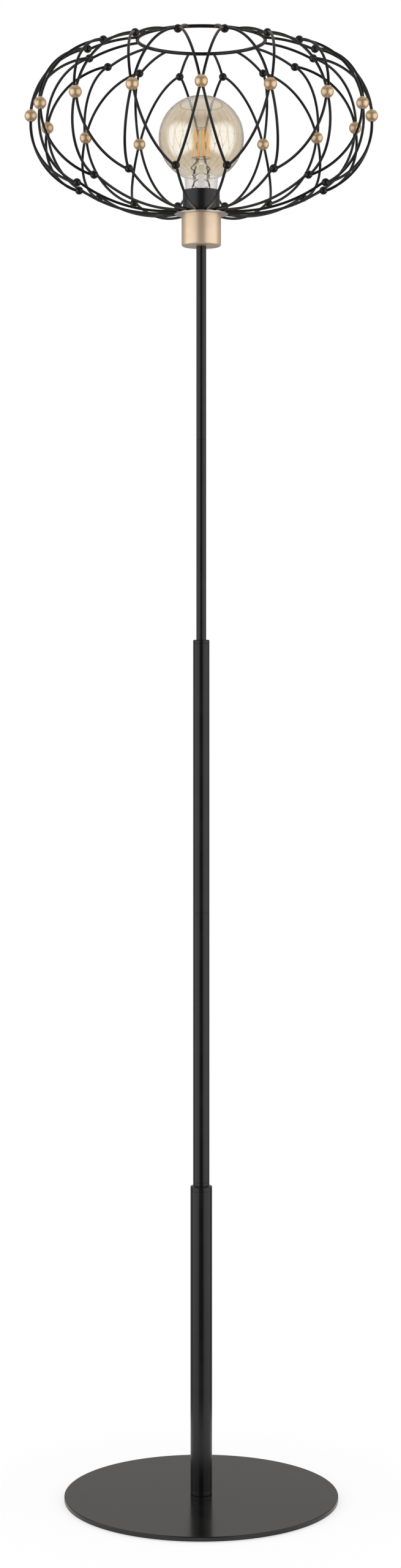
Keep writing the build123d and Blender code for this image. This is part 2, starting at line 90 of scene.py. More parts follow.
class Expr:
    """A socket that can be used in arithmetic. Each operator adds one Math node."""

    def __init__(self, graph: Graph, socket: bpy.types.NodeSocket) -> None:
        """Wraps an output socket of a graph."""
        self.graph = graph
        self.socket = socket

    def math(self, operation: str, first: Operand, second: Operand = 0.0) -> Expr:
        """Result of one Math node on one or two values."""
        return self.graph.out("ShaderNodeMath", {"operation": operation}, {0: first, 1: second})

    def __add__(self, other: Operand) -> Expr:
        """Sum."""
        return self.math("ADD", self, other)

    __radd__ = __add__

    def __sub__(self, other: Operand) -> Expr:
        """Difference."""
        return self.math("SUBTRACT", self, other)

    def __rsub__(self, other: Operand) -> Expr:
        """Difference, with the number first."""
        return self.math("SUBTRACT", other, self)

    def __mul__(self, other: Operand) -> Expr:
        """Product."""
        return self.math("MULTIPLY", self, other)

    __rmul__ = __mul__

    def __truediv__(self, other: Operand) -> Expr:
        """Quotient."""
        return self.math("DIVIDE", self, other)

    def __rtruediv__(self, other: Operand) -> Expr:
        """Quotient, with the number first."""
        return self.math("DIVIDE", other, self)

    def sine(self) -> Expr:
        """Sine of this angle."""
        return self.math("SINE", self)

    def cosine(self) -> Expr:
        """Cosine of this angle."""
        return self.math("COSINE", self)

    def above(self, edge: float, width: float) -> Expr:
        """Soft step: 0 below the edge, 1 from edge + width, smooth in between."""
        settings = {"interpolation_type": "SMOOTHSTEP"}
        return self.graph.out("ShaderNodeMapRange", settings, {0: self, 1: edge, 2: edge + width})

    def between(self, low: float, high: float) -> Expr:
        """This 0 to 1 value spread from low to high."""
        return self * (high - low) + low

    def about(self, middle: float, spread: float) -> Expr:
        """This 0 to 1 value spread evenly about a middle."""
        return self.between(middle - spread, middle + spread)


Operand = Union[Expr, float]


class Graph:
    """Adds nodes to a shader or geometry tree and links them."""

    def __init__(self, tree: bpy.types.NodeTree) -> None:
        """Starts on a tree with no nodes."""
        self.tree = tree
        tree.nodes.clear()

    def node(self, kind: str, settings: Optional[dict] = None,
             inputs: Optional[dict] = None) -> bpy.types.Node:
        """Adds any node.

        Args:
            kind: The node's type.
            settings: Its properties, set first.
            inputs: Values or links of its sockets, by name or index. A list links several to one socket.

        Returns:
            The new node.
        """
        made = self.tree.nodes.new(kind)
        for name, value in (settings or {}).items():
            setattr(made, name, value)
        for key, value in (inputs or {}).items():
            for part in value if isinstance(value, list) else [value]:
                if isinstance(part, Expr):
                    self.tree.links.new(part.socket, made.inputs[key])
                else:
                    made.inputs[key].default_value = part
        return made

    def out(self, kind: str, settings: Optional[dict] = None, inputs: Optional[dict] = None,
            output: Union[int, str] = 0) -> Expr:
        """Adds any node and wraps one of its outputs."""
        return Expr(self, self.node(kind, settings, inputs).outputs[output])

    def part(self, vector: Expr, index: int) -> Expr:
        """One number of a vector: 0 for X, 1 for Y, 2 for Z."""
        return self.out("ShaderNodeSeparateXYZ", inputs={0: vector}, output=index)


class Shading(Graph):
    """The nodes that the finishes share."""

    def place(self) -> Expr:
        """Object coordinates in metres."""
        return self.out("ShaderNodeTexCoord", output="Object")

    def axis(self, index: int) -> Expr:
        """One object coordinate: 0 for X, 1 for Y, 2 for Z."""
        return self.part(self.place(), index)

    def noise(self, size: float, detail: float = 2.0, stretch: Optional[Point3] = None) -> Expr:
        """Cloudy noise.

        Args:
            size: Distance between its blobs, in metres.
            detail: Number of finer layers.
            stretch: Factors on the three coordinates, for grain that runs one way.

        Returns:
            A value round 0.5.
        """
        vector = self.place()
        if stretch:
            vector = self.out("ShaderNodeVectorMath", {"operation": "MULTIPLY"}, {0: vector, 1: stretch})
        return self.out("ShaderNodeTexNoise", inputs={"Vector": vector, "Scale": 1 / size, "Detail": detail})

    def mix(self, share: Operand, first: Union[Expr, Colour], second: Union[Expr, Colour]) -> Expr:
        """Blend of two colours."""
        colours = [(*c, 1.0) if isinstance(c, tuple) else c for c in (first, second)]
        return self.out("ShaderNodeMix", {"data_type": "RGBA"}, {0: share, 6: colours[0], 7: colours[1]}, 2)

    def bump(self, height: Expr, depth: float, strength: float = 1.0) -> Expr:
        """Normal bent by a 0 to 1 pattern of a real depth, and the strength with which it shows."""
        return self.out("ShaderNodeBump", inputs={"Strength": strength, "Distance": depth, "Height": height})

    def surface(self, **inputs: Any) -> Expr:
        """The Principled shader. Underscores in the names stand for spaces."""
        named = {key.replace("_", " "): value for key, value in inputs.items()}
        return self.out("ShaderNodeBsdfPrincipled", inputs=named)

    def seen(self) -> Expr:
        """Share of the camera in what a ray serves.

        Returns:
            1 for rays that the camera sends out, straight or on through glass, and 0 for the others.
        """
        rays = self.node("ShaderNodeLightPath").outputs
        seen = Expr(self, rays["Is Camera Ray"]) + Expr(self, rays["Is Transmission Ray"])
        return seen.math("MINIMUM", seen, 1.0)


# ---- finishes ------------------------------------------------------------------------------------


@dataclass(frozen=True)
class Finish:
    """A procedural material. Its name is the model's material slot, or the slot, a dot and a variant."""

    name: str

    def shade(self, shading: Shading) -> Expr:
        """Builds the finish's nodes.

        Args:
            shading: The material's graph.

        Returns:
            The shader.
        """
        raise NotImplementedError

    def material(self) -> bpy.types.Material:
        """The material, built at its first use.

        Returns:
            The material.
        """
        found = bpy.data.materials.get(f"finish_{self.name}")
        if found:
            return found
        made = bpy.data.materials.new(f"finish_{self.name}")
        made.use_nodes = True
        shading = Shading(made.node_tree)
        shading.node("ShaderNodeOutputMaterial", inputs={"Surface": self.shade(shading)})
        return made


@dataclass(frozen=True)
class SatinBlack(Finish):
    """Baked black lacquer on steel, satin, with a faint orange peel and a little settled dust."""

    colour: Colour = (0.0030, 0.0028, 0.0028)
    worn: Colour = (0.0052, 0.0048, 0.0046)
    dust: Colour = (0.062, 0.053, 0.046)
    dusty: float = 0.12
    dust_size: float = 4 * MM
    dust_patches: Range = (0.42, 0.4)
    dust_dullness: float = 0.5
    level_faces: Range = (0.9, 0.1)
    roughness: float = 0.23
    gloss_drift: float = 0.04
    cloud: float = 28 * MM
    worn_patches: Range = (0.4, 0.3)
    peel: float = 1.1 * MM
    peel_depth: float = 0.004 * MM
    peel_strength: float = 0.35
    ior: float = 1.45

    def shade(self, shading: Shading) -> Expr:
        """Two blacks in soft clouds, with dust only on faces that look up.

        Args:
            shading: The material's graph.

        Returns:
            The shader.
        """
        clouds = shading.noise(self.cloud, detail=3)
        facing = shading.part(shading.out("ShaderNodeNewGeometry", output="Normal"), 2)
        patches = shading.noise(self.dust_size, detail=5).above(*self.dust_patches)
        settled = facing.above(*self.level_faces) * patches * self.dusty
        paint = shading.mix(clouds.above(*self.worn_patches), self.colour, self.worn)
        return shading.surface(
            Base_Color=shading.mix(settled, paint, self.dust),
            Roughness=clouds.about(self.roughness, self.gloss_drift) + settled * self.dust_dullness,
            IOR=self.ior,
            Normal=shading.bump(shading.noise(self.peel), self.peel_depth, self.peel_strength),
        )


@dataclass(frozen=True)
class Champagne(Finish):
    """Satin champagne gold plating under clear lacquer."""

    colour: Colour = (0.755, 0.58, 0.405)
    deep: Colour = (0.725, 0.535, 0.355)
    roughness: float = 0.44
    gloss_drift: float = 0.04
    metallic: float = 0.80
    lacquer_roughness: float = 0.25
    lacquer_ior: float = 1.6
    cloud: float = 16 * MM
    deep_patches: Range = (0.35, 0.4)
    brush: float = 1.2 * MM
    brush_depth: float = 0.0012 * MM
    brush_strength: float = 0.3
    brush_stretch: Point3 = (1.0, 1.0, 5.0)

    def shade(self, shading: Shading) -> Expr:
        """Warm metal whose tone and gloss drift a little, with very fine brushing round the axis.

        Args:
            shading: The material's graph.

        Returns:
            The shader.
        """
        brushed = shading.noise(self.brush, stretch=self.brush_stretch)
        deeper = shading.noise(self.cloud).above(*self.deep_patches)
        return shading.surface(
            Base_Color=shading.mix(deeper, self.colour, self.deep),
            Metallic=self.metallic,
            Roughness=brushed.about(self.roughness, self.gloss_drift),
            Coat_Weight=1.0,
            Coat_Roughness=self.lacquer_roughness,
            Coat_IOR=self.lacquer_ior,
            Normal=shading.bump(brushed, self.brush_depth, self.brush_strength),
        )


@dataclass(frozen=True)
class AmberGlass(Finish):
    """Clear glass. Its globe carries an amber film, which reflects the blue that it holds back."""

    amber: Colour = (0.95, 0.828, 0.645)
    rim_amber: Colour = (0.58, 0.415, 0.265)
    clear: Colour = (0.83, 0.83, 0.82)
    sheen: Colour = (0.60, 0.79, 1.0)
    sheen_two: Colour = (0.64, 0.79, 0.97)
    film_end: float = 1.474
    film_fade: float = 7 * MM
    film_gloss: float = 0.18
    film_evenness: Range = (0.9, 1.0)
    streak: float = 14 * MM
    rim_blend: float = 0.35
    rim_edge: Range = (0.45, 0.5)
    roughness: Range = (0.0, 0.012)
    mirror_roughness: Range = (0.05, 0.10)
    ripple: float = 24 * MM
    ripple_depth: float = 0.05 * MM
    ripple_strength: float = 0.5
    ior: float = 1.47

    def shade(self, shading: Shading) -> Expr:
        """Film by height, deeper where the wall is seen edge on, with the slow ripple of blown glass.

        Args:
            shading: The material's graph.

        Returns:
            The shader.
        """
        streak = shading.noise(self.streak, detail=3)
        film = shading.axis(2).above(self.film_end, self.film_fade) * streak.between(*self.film_evenness)
        slant = shading.out("ShaderNodeLayerWeight", inputs={"Blend": self.rim_blend}, output="Facing")
        tint = shading.mix(slant.above(*self.rim_edge), self.amber, self.rim_amber)
        ripple = shading.bump(shading.noise(self.ripple), self.ripple_depth, self.ripple_strength)
        glass = shading.surface(
            Base_Color=shading.mix(film, self.clear, tint),
            Roughness=streak.between(*self.roughness),
            IOR=self.ior,
            Transmission_Weight=1.0,
            Normal=ripple,
        )
        mirror = shading.surface(
            Base_Color=shading.mix(streak, self.sheen, self.sheen_two),
            Metallic=1.0,
            Roughness=streak.between(*self.mirror_roughness),
            Normal=ripple,
        )
        return shading.out("ShaderNodeMixShader", inputs={0: film * self.film_gloss, 1: glass, 2: mirror})


@dataclass(frozen=True)
class PlainGlass(Finish):
    """Clear pressed glass."""

    tint: Colour = (0.97, 0.98, 0.97)
    tint_two: Colour = (0.93, 0.93, 0.90)
    streak: float = 2 * MM
    streak_stretch: Point3 = (1.0, 1.0, 0.12)
    streak_depth: float = 0.03 * MM
    streak_strength: float = 0.5
    roughness: Range = (0.0, 0.03)
    ior: float = 1.5

    def shade(self, shading: Shading) -> Expr:
        """Glass with faint drawn streaks.

        Args:
            shading: The material's graph.

        Returns:
            The shader.
        """
        drawn = shading.noise(self.streak, stretch=self.streak_stretch)
        return shading.surface(
            Base_Color=shading.mix(drawn, self.tint, self.tint_two),
            Roughness=drawn.between(*self.roughness),
            IOR=self.ior,
            Transmission_Weight=1.0,
            Normal=shading.bump(drawn, self.streak_depth, self.streak_strength),
        )


@dataclass(frozen=True)
class Phosphor(Finish):
    """Yellow silicone coat of a filament, with its row of chips showing faintly, and a painted glow in its
    own colour.
    """

    colour: Colour = (0.92, 0.44, 0.02)
    chip: Colour = (0.98, 0.60, 0.07)
    chip_pitch: float = 1.15 * MM
    bead: Range = (0.5, 1.0)
    chip_edge: Range = (0.4, 0.8)
    grain: float = 0.6 * MM
    grain_share: float = 0.3
    roughness: Range = (0.42, 0.55)
    relief: float = 0.04 * MM
    relief_strength: float = 0.5
    # Strength of the painted glow. It is light painted on the filaments in place of the light that the glass
    # keeps off them.
    painted_glow: float = 0.5

    def shade(self, shading: Shading) -> Expr:
        """Even beads along the height, softened by noise, with a faint painted glow.

        Args:
            shading: The material's graph.

        Returns:
            The shader.
        """
        beat = shading.axis(2) * (TURN / self.chip_pitch)
        beads = beat.sine().between(*self.bead) + shading.noise(self.grain) * self.grain_share
        colour = shading.mix(beads.above(*self.chip_edge), self.colour, self.chip)
        return shading.surface(
            Base_Color=colour,
            Roughness=beads.between(*self.roughness),
            # Painted light: the coat glows in its own colour.
            Emission_Color=colour,
            Emission_Strength=self.painted_glow,
            Normal=shading.bump(beads, self.relief, self.relief_strength),
        )


@dataclass(frozen=True)
class Metal(Finish):
    """Bare or plated metal with drawn marks and a duller second tone."""

    colour: Colour
    dull: Colour
    roughness: float
    mark: float = 1.5 * MM
    mark_stretch: Point3 = (1.0, 1.0, 6.0)
    mark_depth: float = 0.015 * MM
    mark_strength: float = 0.4
    blotch: float = 6 * MM
    dull_patches: Range = (0.45, 0.3)
    gloss_drift: Range = (-0.08, 0.12)

    def shade(self, shading: Shading) -> Expr:
        """Marks that run round the piece, and blotches of handling.

        Args:
            shading: The material's graph.

        Returns:
            The shader.
        """
        marks = shading.noise(self.mark, detail=3, stretch=self.mark_stretch)
        blotch = shading.noise(self.blotch, detail=4)
        low, high = (self.roughness + drift for drift in self.gloss_drift)
        return shading.surface(
            Base_Color=shading.mix(blotch.above(*self.dull_patches), self.colour, self.dull),
            Metallic=1.0,
            Roughness=(marks * 0.5 + blotch * 0.5).between(low, high),
            Normal=shading.bump(marks, self.mark_depth, self.mark_strength),
        )


@dataclass(frozen=True)
class Moulded(Finish):
    """Plastic, rubber or glazed ceramic with a fine moulded skin."""

    colour: Colour
    colour_two: Colour
    roughness: float
    grain: float
    depth: float = 0.03 * MM
    strength: float = 0.5
    gloss_drift: float = 0.08
    cloud_to_grain: float = 18

    def shade(self, shading: Shading) -> Expr:
        """Fine grain with a slow change of tone.

        Args:
            shading: The material's graph.

        Returns:
            The shader.
        """
        grain = shading.noise(self.grain, detail=3)
        tone = shading.noise(self.grain * self.cloud_to_grain, detail=3)
        return shading.surface(
            Base_Color=shading.mix(tone, self.colour, self.colour_two),
            Roughness=grain.about(self.roughness, self.gloss_drift),
            Normal=shading.bump(grain, self.depth, self.strength),
        )


@dataclass(frozen=True)
class Felt(Finish):
    """Pressed wool felt: crossing fibres and a fuzzy sheen."""

    colour: Colour = (0.045, 0.043, 0.042)
    fibre: Colour = (0.11, 0.105, 0.10)
    fibre_size: float = 0.5 * MM
    lengthways: Point3 = (0.25, 1.0, 1.0)
    across: Point3 = (1.0, 0.25, 1.0)
    fibre_edge: Range = (0.42, 0.2)
    roughness: Range = (0.85, 1.0)
    sheen: float = 0.5
    nap: float = 0.2 * MM

    def shade(self, shading: Shading) -> Expr:
        """Two layers of stretched noise for fibres that lie both ways.

        Args:
            shading: The material's graph.

        Returns:
            The shader.
        """
        lengthways = shading.noise(self.fibre_size, detail=3, stretch=self.lengthways)
        across = shading.noise(self.fibre_size, detail=3, stretch=self.across)
        fibres = lengthways * 0.5 + across * 0.5
        return shading.surface(
            Base_Color=shading.mix(fibres.above(*self.fibre_edge), self.colour, self.fibre),
            Roughness=fibres.between(*self.roughness),
            Sheen_Weight=self.sheen,
            Normal=shading.bump(fibres, self.nap),
        )


@dataclass(frozen=True)
class Board(Finish):
    """Glass fibre circuit board with its copper tracks under green lacquer."""

    lacquer: Colour = (0.012, 0.075, 0.030)
    track: Colour = (0.030, 0.135, 0.055)
    pitch: float = 1.6 * MM
    wander: float = 2 * MM
    wander_size: float = 5 * MM
    track_edge: Range = (0.2, 0.3)
    roughness: Range = (0.35, 0.28)
    relief: float = 0.035 * MM
    relief_strength: float = 0.6

    def shade(self, shading: Shading) -> Expr:
        """Tracks as bands that step sideways with the height.

        Args:
            shading: The material's graph.

        Returns:
            The shader.
        """
        across = shading.axis(0) + shading.noise(self.wander_size, detail=0) * self.wander
        tracks = (across * (TURN / self.pitch)).sine().above(*self.track_edge)
        return shading.surface(
            Base_Color=shading.mix(tracks, self.lacquer, self.track),
            Roughness=tracks.between(*self.roughness),
            Normal=shading.bump(tracks, self.relief, self.relief_strength),
        )


class Coat(Enum):
    """Every finish of the lamp, under the name of the model's material slot."""

    BLACK_COAT = SatinBlack("black_coat")
    BLACK_BASE = SatinBlack("black_coat.base", dusty=0.05, roughness=0.18, ior=1.5)
    GOLD_LACQUER = Champagne("gold_lacquer")
    GOLD_BEAD = Champagne("gold_lacquer.bead", (0.725, 0.512, 0.295), (0.67, 0.445, 0.235), 0.36)
    FELT = Felt("felt")
    RUBBER = Moulded("rubber", (0.018, 0.018, 0.018), (0.028, 0.028, 0.028), 0.62, 0.5 * MM)
    CABLE_SHEATH = Moulded("cable_sheath", (0.020, 0.020, 0.021), (0.032, 0.031, 0.030), 0.5, 0.8 * MM)
    CORE_SHEATH = Moulded("core_sheath", (0.12, 0.20, 0.42), (0.09, 0.15, 0.34), 0.4, 0.6 * MM)
    ZINC = Metal("zinc", (0.56, 0.57, 0.58), (0.42, 0.43, 0.44), 0.38)
    ZINC_PLATE = Metal("zinc.plate", (0.74, 0.71, 0.70), (0.62, 0.59, 0.58), 0.24, 2.4 * MM)
    BLACK_PLASTIC = Moulded(
        "black_plastic", (0.0042, 0.0042, 0.0046), (0.0070, 0.0070, 0.0074), 0.28, 0.8 * MM, 0.004 * MM)
    CERAMIC = Moulded("ceramic", (0.78, 0.76, 0.71), (0.72, 0.69, 0.63), 0.28, 0.9 * MM, 0.02 * MM)
    BRASS = Metal("brass", (0.76, 0.57, 0.27), (0.58, 0.41, 0.18), 0.30)
    NICKEL = Metal("nickel", (0.66, 0.64, 0.60), (0.50, 0.48, 0.44), 0.26)
    SOLDER = Metal("solder", (0.52, 0.52, 0.53), (0.38, 0.38, 0.39), 0.42, 0.8 * MM)
    CAP_GLASS = Moulded("cap_glass", (0.010, 0.010, 0.012), (0.016, 0.015, 0.016), 0.16, 1.2 * MM)
    AMBER_GLASS = AmberGlass("amber_glass")
    CLEAR_GLASS = PlainGlass("clear_glass")
    FILAMENT = Phosphor("filament")
    FINE_WIRE = Metal("fine_wire", (0.28, 0.20, 0.14), (0.16, 0.10, 0.065), 0.40, 0.4 * MM)
    LEAD_WIRE = Metal("fine_wire.lead", (0.115, 0.080, 0.050), (0.070, 0.045, 0.026), 0.42, 0.5 * MM)
    CIRCUIT_BOARD = Board("circuit_board")

    @property
    def slot(self) -> str:
        """The model's name for this material."""
        return self.value.name.split(".")[0]

    @property
    def material(self) -> bpy.types.Material:
        """The Blender material."""
        return self.value.material()


# ---- shapes --------------------------------------------------------------------------------------


@dataclass
class Span:
    """The room that a node of the frame takes: its radius about the pole and its heights."""

    node: str

    def __post_init__(self) -> None:
        """Reads the node's corners."""
        self.low, self.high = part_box(self.node)
        self.radius = max(self.high.x, self.high.y, -self.low.x, -self.low.y)
        self.bottom, self.top = self.low.z, self.high.z
        self.middle = (self.low.z + self.high.z) / 2
        self.half_height = (self.high.z - self.low.z) / 2


def arc(centre: Point2, radius: float, first: float = 0.0, last: float = TURN,
        steps: int = 24) -> list[Point2]:
    """Points of a circular arc.

    Args:
        centre: Its centre.
        radius: Its radius.
        first: Angle of the first point, in radians.
        last: Angle of the last point.
        steps: Spans between the points.

    Returns:
        The points, both ends included.
    """
    angles = (first + (last - first) * step / steps for step in range(steps + 1))
    return [(centre[0] + radius * math.cos(angle), centre[1] + radius * math.sin(angle)) for angle in angles]


def circle(centre: Point2, radius: float, steps: int) -> list[Point2]:
    """Points of a whole circle, each only once."""
    return arc(centre, radius, steps=steps)[:-1]


def rounded(corners: Sequence[Corner], steps: int = 6) -> list[Point2]:
    """Rounds the corners of a closed section, with a point beside each rounding that keeps the flats flat.

    Args:
        corners: Radius, height and rounding of each corner, in order.
        steps: Faces in each rounding.

    Returns:
        The section's points.
    """
    points: list[Point2] = []
    for index, (radius, height, rounding) in enumerate(corners):
        if rounding <= 0:
            points.append((radius, height))
            continue
        here = Vector((radius, height))
        before = Vector(corners[index - 1][:2]) - here
        after = Vector(corners[(index + 1) % len(corners)][:2]) - here
        back, ahead = before.normalized(), after.normalized()
        half = before.angle(after) / 2
        reach = rounding / math.tan(half)
        centre = here + (back + ahead).normalized() * (rounding / math.sin(half))
        first, last = here + back * reach, here + ahead * reach
        if before.length > reach + 2 * SUPPORT:
            points.append(tuple(first + back * SUPPORT))
        sweep = (first - centre).angle_signed(last - centre)
        for step in range(steps + 1):
            points.append(tuple(centre + Matrix.Rotation(-sweep * step / steps, 2) @ (first - centre)))
        if after.length > reach + 2 * SUPPORT:
            points.append(tuple(last + ahead * SUPPORT))
    return points


def ring_section(span: Span, inner: float, edge: float) -> list[Point2]:
    """Section of a plain ring or tube.

    Args:
        span: Room of the node that it stands for.
        inner: Bore radius.
        edge: Rounding of the outer edges.

    Returns:
        The section's points.
    """
    lip = min(edge, (span.radius - inner) / 3)
    return rounded([
        (inner, span.bottom, lip), (span.radius, span.bottom, edge),
        (span.radius, span.top, edge), (inner, span.top, lip)], steps=4)


def linked(name: str, data: Any) -> Piece:
    """A new object at the origin, linked to the scene.

    Args:
        name: Name of the object.
        data: Its mesh, lamp or camera.

    Returns:
        The object.
    """
    made = bpy.data.objects.new(name, data)
    bpy.context.scene.collection.objects.link(made)
    return made


def mesh_object(name: str, points: Sequence[Any], edges: Sequence = (), faces: Sequence = ()) -> Piece:
    """A new mesh object.

    Args:
        name: Name of the object.
        points: Its points.
        edges: Numbers of the two points of each edge.
        faces: Numbers of the points round each face.

    Returns:
        The object.
    """
    mesh = bpy.data.meshes.new(name)
    mesh.from_pydata([tuple(point) for point in points], edges, faces)
    mesh.update()
    return linked(name, mesh)


def shade_smooth(piece: Piece, crease: float = CREASE) -> None:
    """Shades a piece smooth, with edges past the crease angle kept sharp."""
    piece.data.shade_smooth()
    piece.data.set_sharp_from_angle(angle=crease)


def smooth(piece: Piece, crease: float = CREASE) -> None:
    """Merges doubles, turns the faces outwards and shades them smooth.

    Args:
        piece: Object with a closed mesh.
        crease: Angle in radians past which an edge stays sharp.
    """
    work = bmesh.new()
    work.from_mesh(piece.data)
    bmesh.ops.remove_doubles(work, verts=work.verts, dist=WELD)
    bmesh.ops.recalc_face_normals(work, faces=work.faces)
    work.to_mesh(piece.data)
    work.free()
    shade_smooth(piece, crease)


def turned(name: str, section: Sequence[Point2], segments: int = 96) -> Piece:
    """A piece turned about the pole.

    Args:
        name: Name of the piece.
        section: Points as radius and height. One that starts on the axis ends there, and any other is closed.
        segments: Steps round the pole.

    Returns:
        The piece, smooth shaded.
    """
    points: list[Point3] = []
    rings: list[list[int]] = []
    for radius, height in section:
        start = len(points)
        if radius < TINY:
            rings.append([start] * segments)
            points.append((0, 0, height))
        else:
            rings.append(list(range(start, start + segments)))
            points += [(x, y, height) for x, y in circle((0, 0), radius, segments)]
    if section[0][0] >= TINY:
        rings.append(rings[0])
    faces = []
    for low, high in zip(rings, rings[1:]):
        for step in range(segments):
            after = (step + 1) % segments
            face = list(dict.fromkeys([low[step], low[after], high[after], high[step]]))
            if len(face) > 2:
                faces.append(face)
    piece = mesh_object(name, points, faces=faces)
    smooth(piece)
    return piece


def merged(pieces: Sequence[Piece]) -> Piece:
    """Joins several mesh objects.

    Args:
        pieces: The objects. All but the first are removed.

    Returns:
        The first one, with all their meshes.
    """
    work = bmesh.new()
    for piece in pieces:
        work.from_mesh(piece.data)
    work.to_mesh(pieces[0].data)
    work.free()
    for piece in pieces[1:]:
        bpy.data.objects.remove(piece)
    return pieces[0]


def bowed(start: Vector, end: Vector, bow: float, steps: int = 28) -> list[Vector]:
    """Points of a circular arc that stands off its chord, away from the pole.

    Args:
        start: First point.
        end: Last point.
        bow: Height of the arc over its chord.
        steps: Spans along the arc.

    Returns:
        The points, both ends included.
    """
    chord = end - start
    off = ACROSS.cross(chord).normalized()
    off = off if off.x > 0 else -off
    radius = (chord.length ** 2 / 4 + bow ** 2) / (2 * bow)
    half = math.asin(chord.length / 2 / radius)
    centre = (start + end) / 2 + off * (bow - radius)
    along = chord.normalized()
    angles = [half * (2 * step / steps - 1) for step in range(steps + 1)]
    return [centre + off * (radius * math.cos(a)) + along * (radius * math.sin(a)) for a in angles]


def softened(corners: Sequence[Vector], steps: int = 6) -> list[Vector]:
    """A smooth line through the given points, as a springy wire takes.

    Args:
        corners: Points that the line passes.
        steps: Spans between two of them.

    Returns:
        The line's points.
    """
    padded = [2 * corners[0] - corners[1], *corners, 2 * corners[-1] - corners[-2]]
    points = []
    for before, here, there, after in zip(padded, padded[1:], padded[2:], padded[3:]):
        for step in range(steps):
            t = step / steps
            points.append(0.5 * (2 * here + (there - before) * t
                                 + (2 * before - 5 * here + 4 * there - after) * t * t
                                 + (3 * here - before - 3 * there + after) * t ** 3))
    return [*points, corners[-1]]


# ---- geometry nodes ------------------------------------------------------------------------------


class Socket(Enum):
    """Kinds of input that a geometry tree takes."""

    LENGTH = "NodeSocketFloat"
    COUNT = "NodeSocketInt"
    PLACE = "NodeSocketVector"
    SWITCH = "NodeSocketBool"
    MATERIAL = "NodeSocketMaterial"


class Recipe(Graph):
    """A geometry nodes tree with named inputs, which ends in realized geometry with its material."""

    def __init__(self, name: str, **inputs: Socket) -> None:
        """Makes the tree and its interface.

        Args:
            name: Name of the tree.
            inputs: Kind of each input besides the geometry. Underscores in the names stand for spaces.
        """
        tree = bpy.data.node_groups.new(name, "GeometryNodeTree")
        super().__init__(tree)
        tree.interface.new_socket("Geometry", in_out="INPUT", socket_type="NodeSocketGeometry")
        for label, kind in {**inputs, "Material": Socket.MATERIAL}.items():
            tree.interface.new_socket(label.replace("_", " "), in_out="INPUT", socket_type=kind.value)
        tree.interface.new_socket("Geometry", in_out="OUTPUT", socket_type="NodeSocketGeometry")
        self.source = self.node("NodeGroupInput")

    def __getitem__(self, label: str) -> Expr:
        """One of the tree's inputs."""
        return Expr(self, self.source.outputs[label])

    def make(self, kind: str, **inputs: Any) -> Expr:
        """A geometry node's first output. Underscores in the names of its inputs stand for spaces."""
        return self.out(f"GeometryNode{kind}", inputs={key.replace("_", " "): v for key, v in inputs.items()})

    def around_pole(self, shape: Expr) -> Expr:
        """Copies of a shape at even angles round the Z axis, from the inputs Count and First angle.

        Args:
            shape: The geometry to copy.

        Returns:
            The copies, as instances.
        """
        angle = self.make("InputIndex") * TURN / self["Count"] + self["First angle"]
        turn = self.out("FunctionNodeAxisAngleToRotation", inputs={"Axis": UP, "Angle": angle})
        points = self.make("Points", Count=self["Count"])
        return self.make("InstanceOnPoints", Points=points, Instance=shape, Rotation=turn)

    def joined(self, *shapes: Expr) -> Expr:
        """Several shapes as one geometry."""
        return self.make("JoinGeometry", Geometry=[*reversed(shapes)])

    def creased(self, shape: Expr, crease: float = 0.6) -> Expr:
        """Smooth shading.

        Args:
            shape: The mesh.
            crease: Angle in radians past which an edge stays sharp.

        Returns:
            The shaded mesh.
        """
        soft = self.make("SetShadeSmooth", Geometry=shape)
        bend = self.make("InputMeshEdgeAngle")
        hard = self.out("FunctionNodeCompare", {"operation": "GREATER_THAN"}, {0: bend, 1: crease})
        return self.out("GeometryNodeSetShadeSmooth", {"domain": "EDGE"},
                        {0: soft, "Selection": hard, "Shade Smooth": False})

    def finish(self, shape: Expr) -> bpy.types.NodeTree:
        """Ends the tree in Realize Instances and Set Material.

        Args:
            shape: The finished geometry.

        Returns:
            The tree.
        """
        real = self.make("RealizeInstances", Geometry=shape)
        coated = self.make("SetMaterial", Geometry=real, Material=self["Material"])
        self.node("NodeGroupOutput", inputs={0: coated})
        return self.tree


def recipe_copies() -> bpy.types.NodeTree:
    """Tree that repeats the object's own mesh round the pole."""
    recipe = Recipe("copies_around_pole", Count=Socket.COUNT, First_angle=Socket.LENGTH)
    return recipe.finish(recipe.around_pole(recipe["Geometry"]))


def recipe_wires() -> bpy.types.NodeTree:
    """Tree that draws a round wire along the object's edges and repeats it round the pole.

    Returns:
        The tree.
    """
    recipe = Recipe("wires_around_pole", Count=Socket.COUNT, First_angle=Socket.LENGTH, Radius=Socket.LENGTH,
                    Sides=Socket.COUNT)
    path = recipe.make("MeshToCurve", Mesh=recipe["Geometry"])
    profile = recipe.make("CurvePrimitiveCircle", Resolution=recipe["Sides"], Radius=recipe["Radius"])
    width = recipe.out("GeometryNodeInputNamedAttribute", {"data_type": "FLOAT"}, {"Name": "width"})
    wire = recipe.make("CurveToMesh", Curve=path, Profile_Curve=profile, Scale=width, Fill_Caps=True)
    return recipe.finish(recipe.around_pole(recipe.creased(wire)))


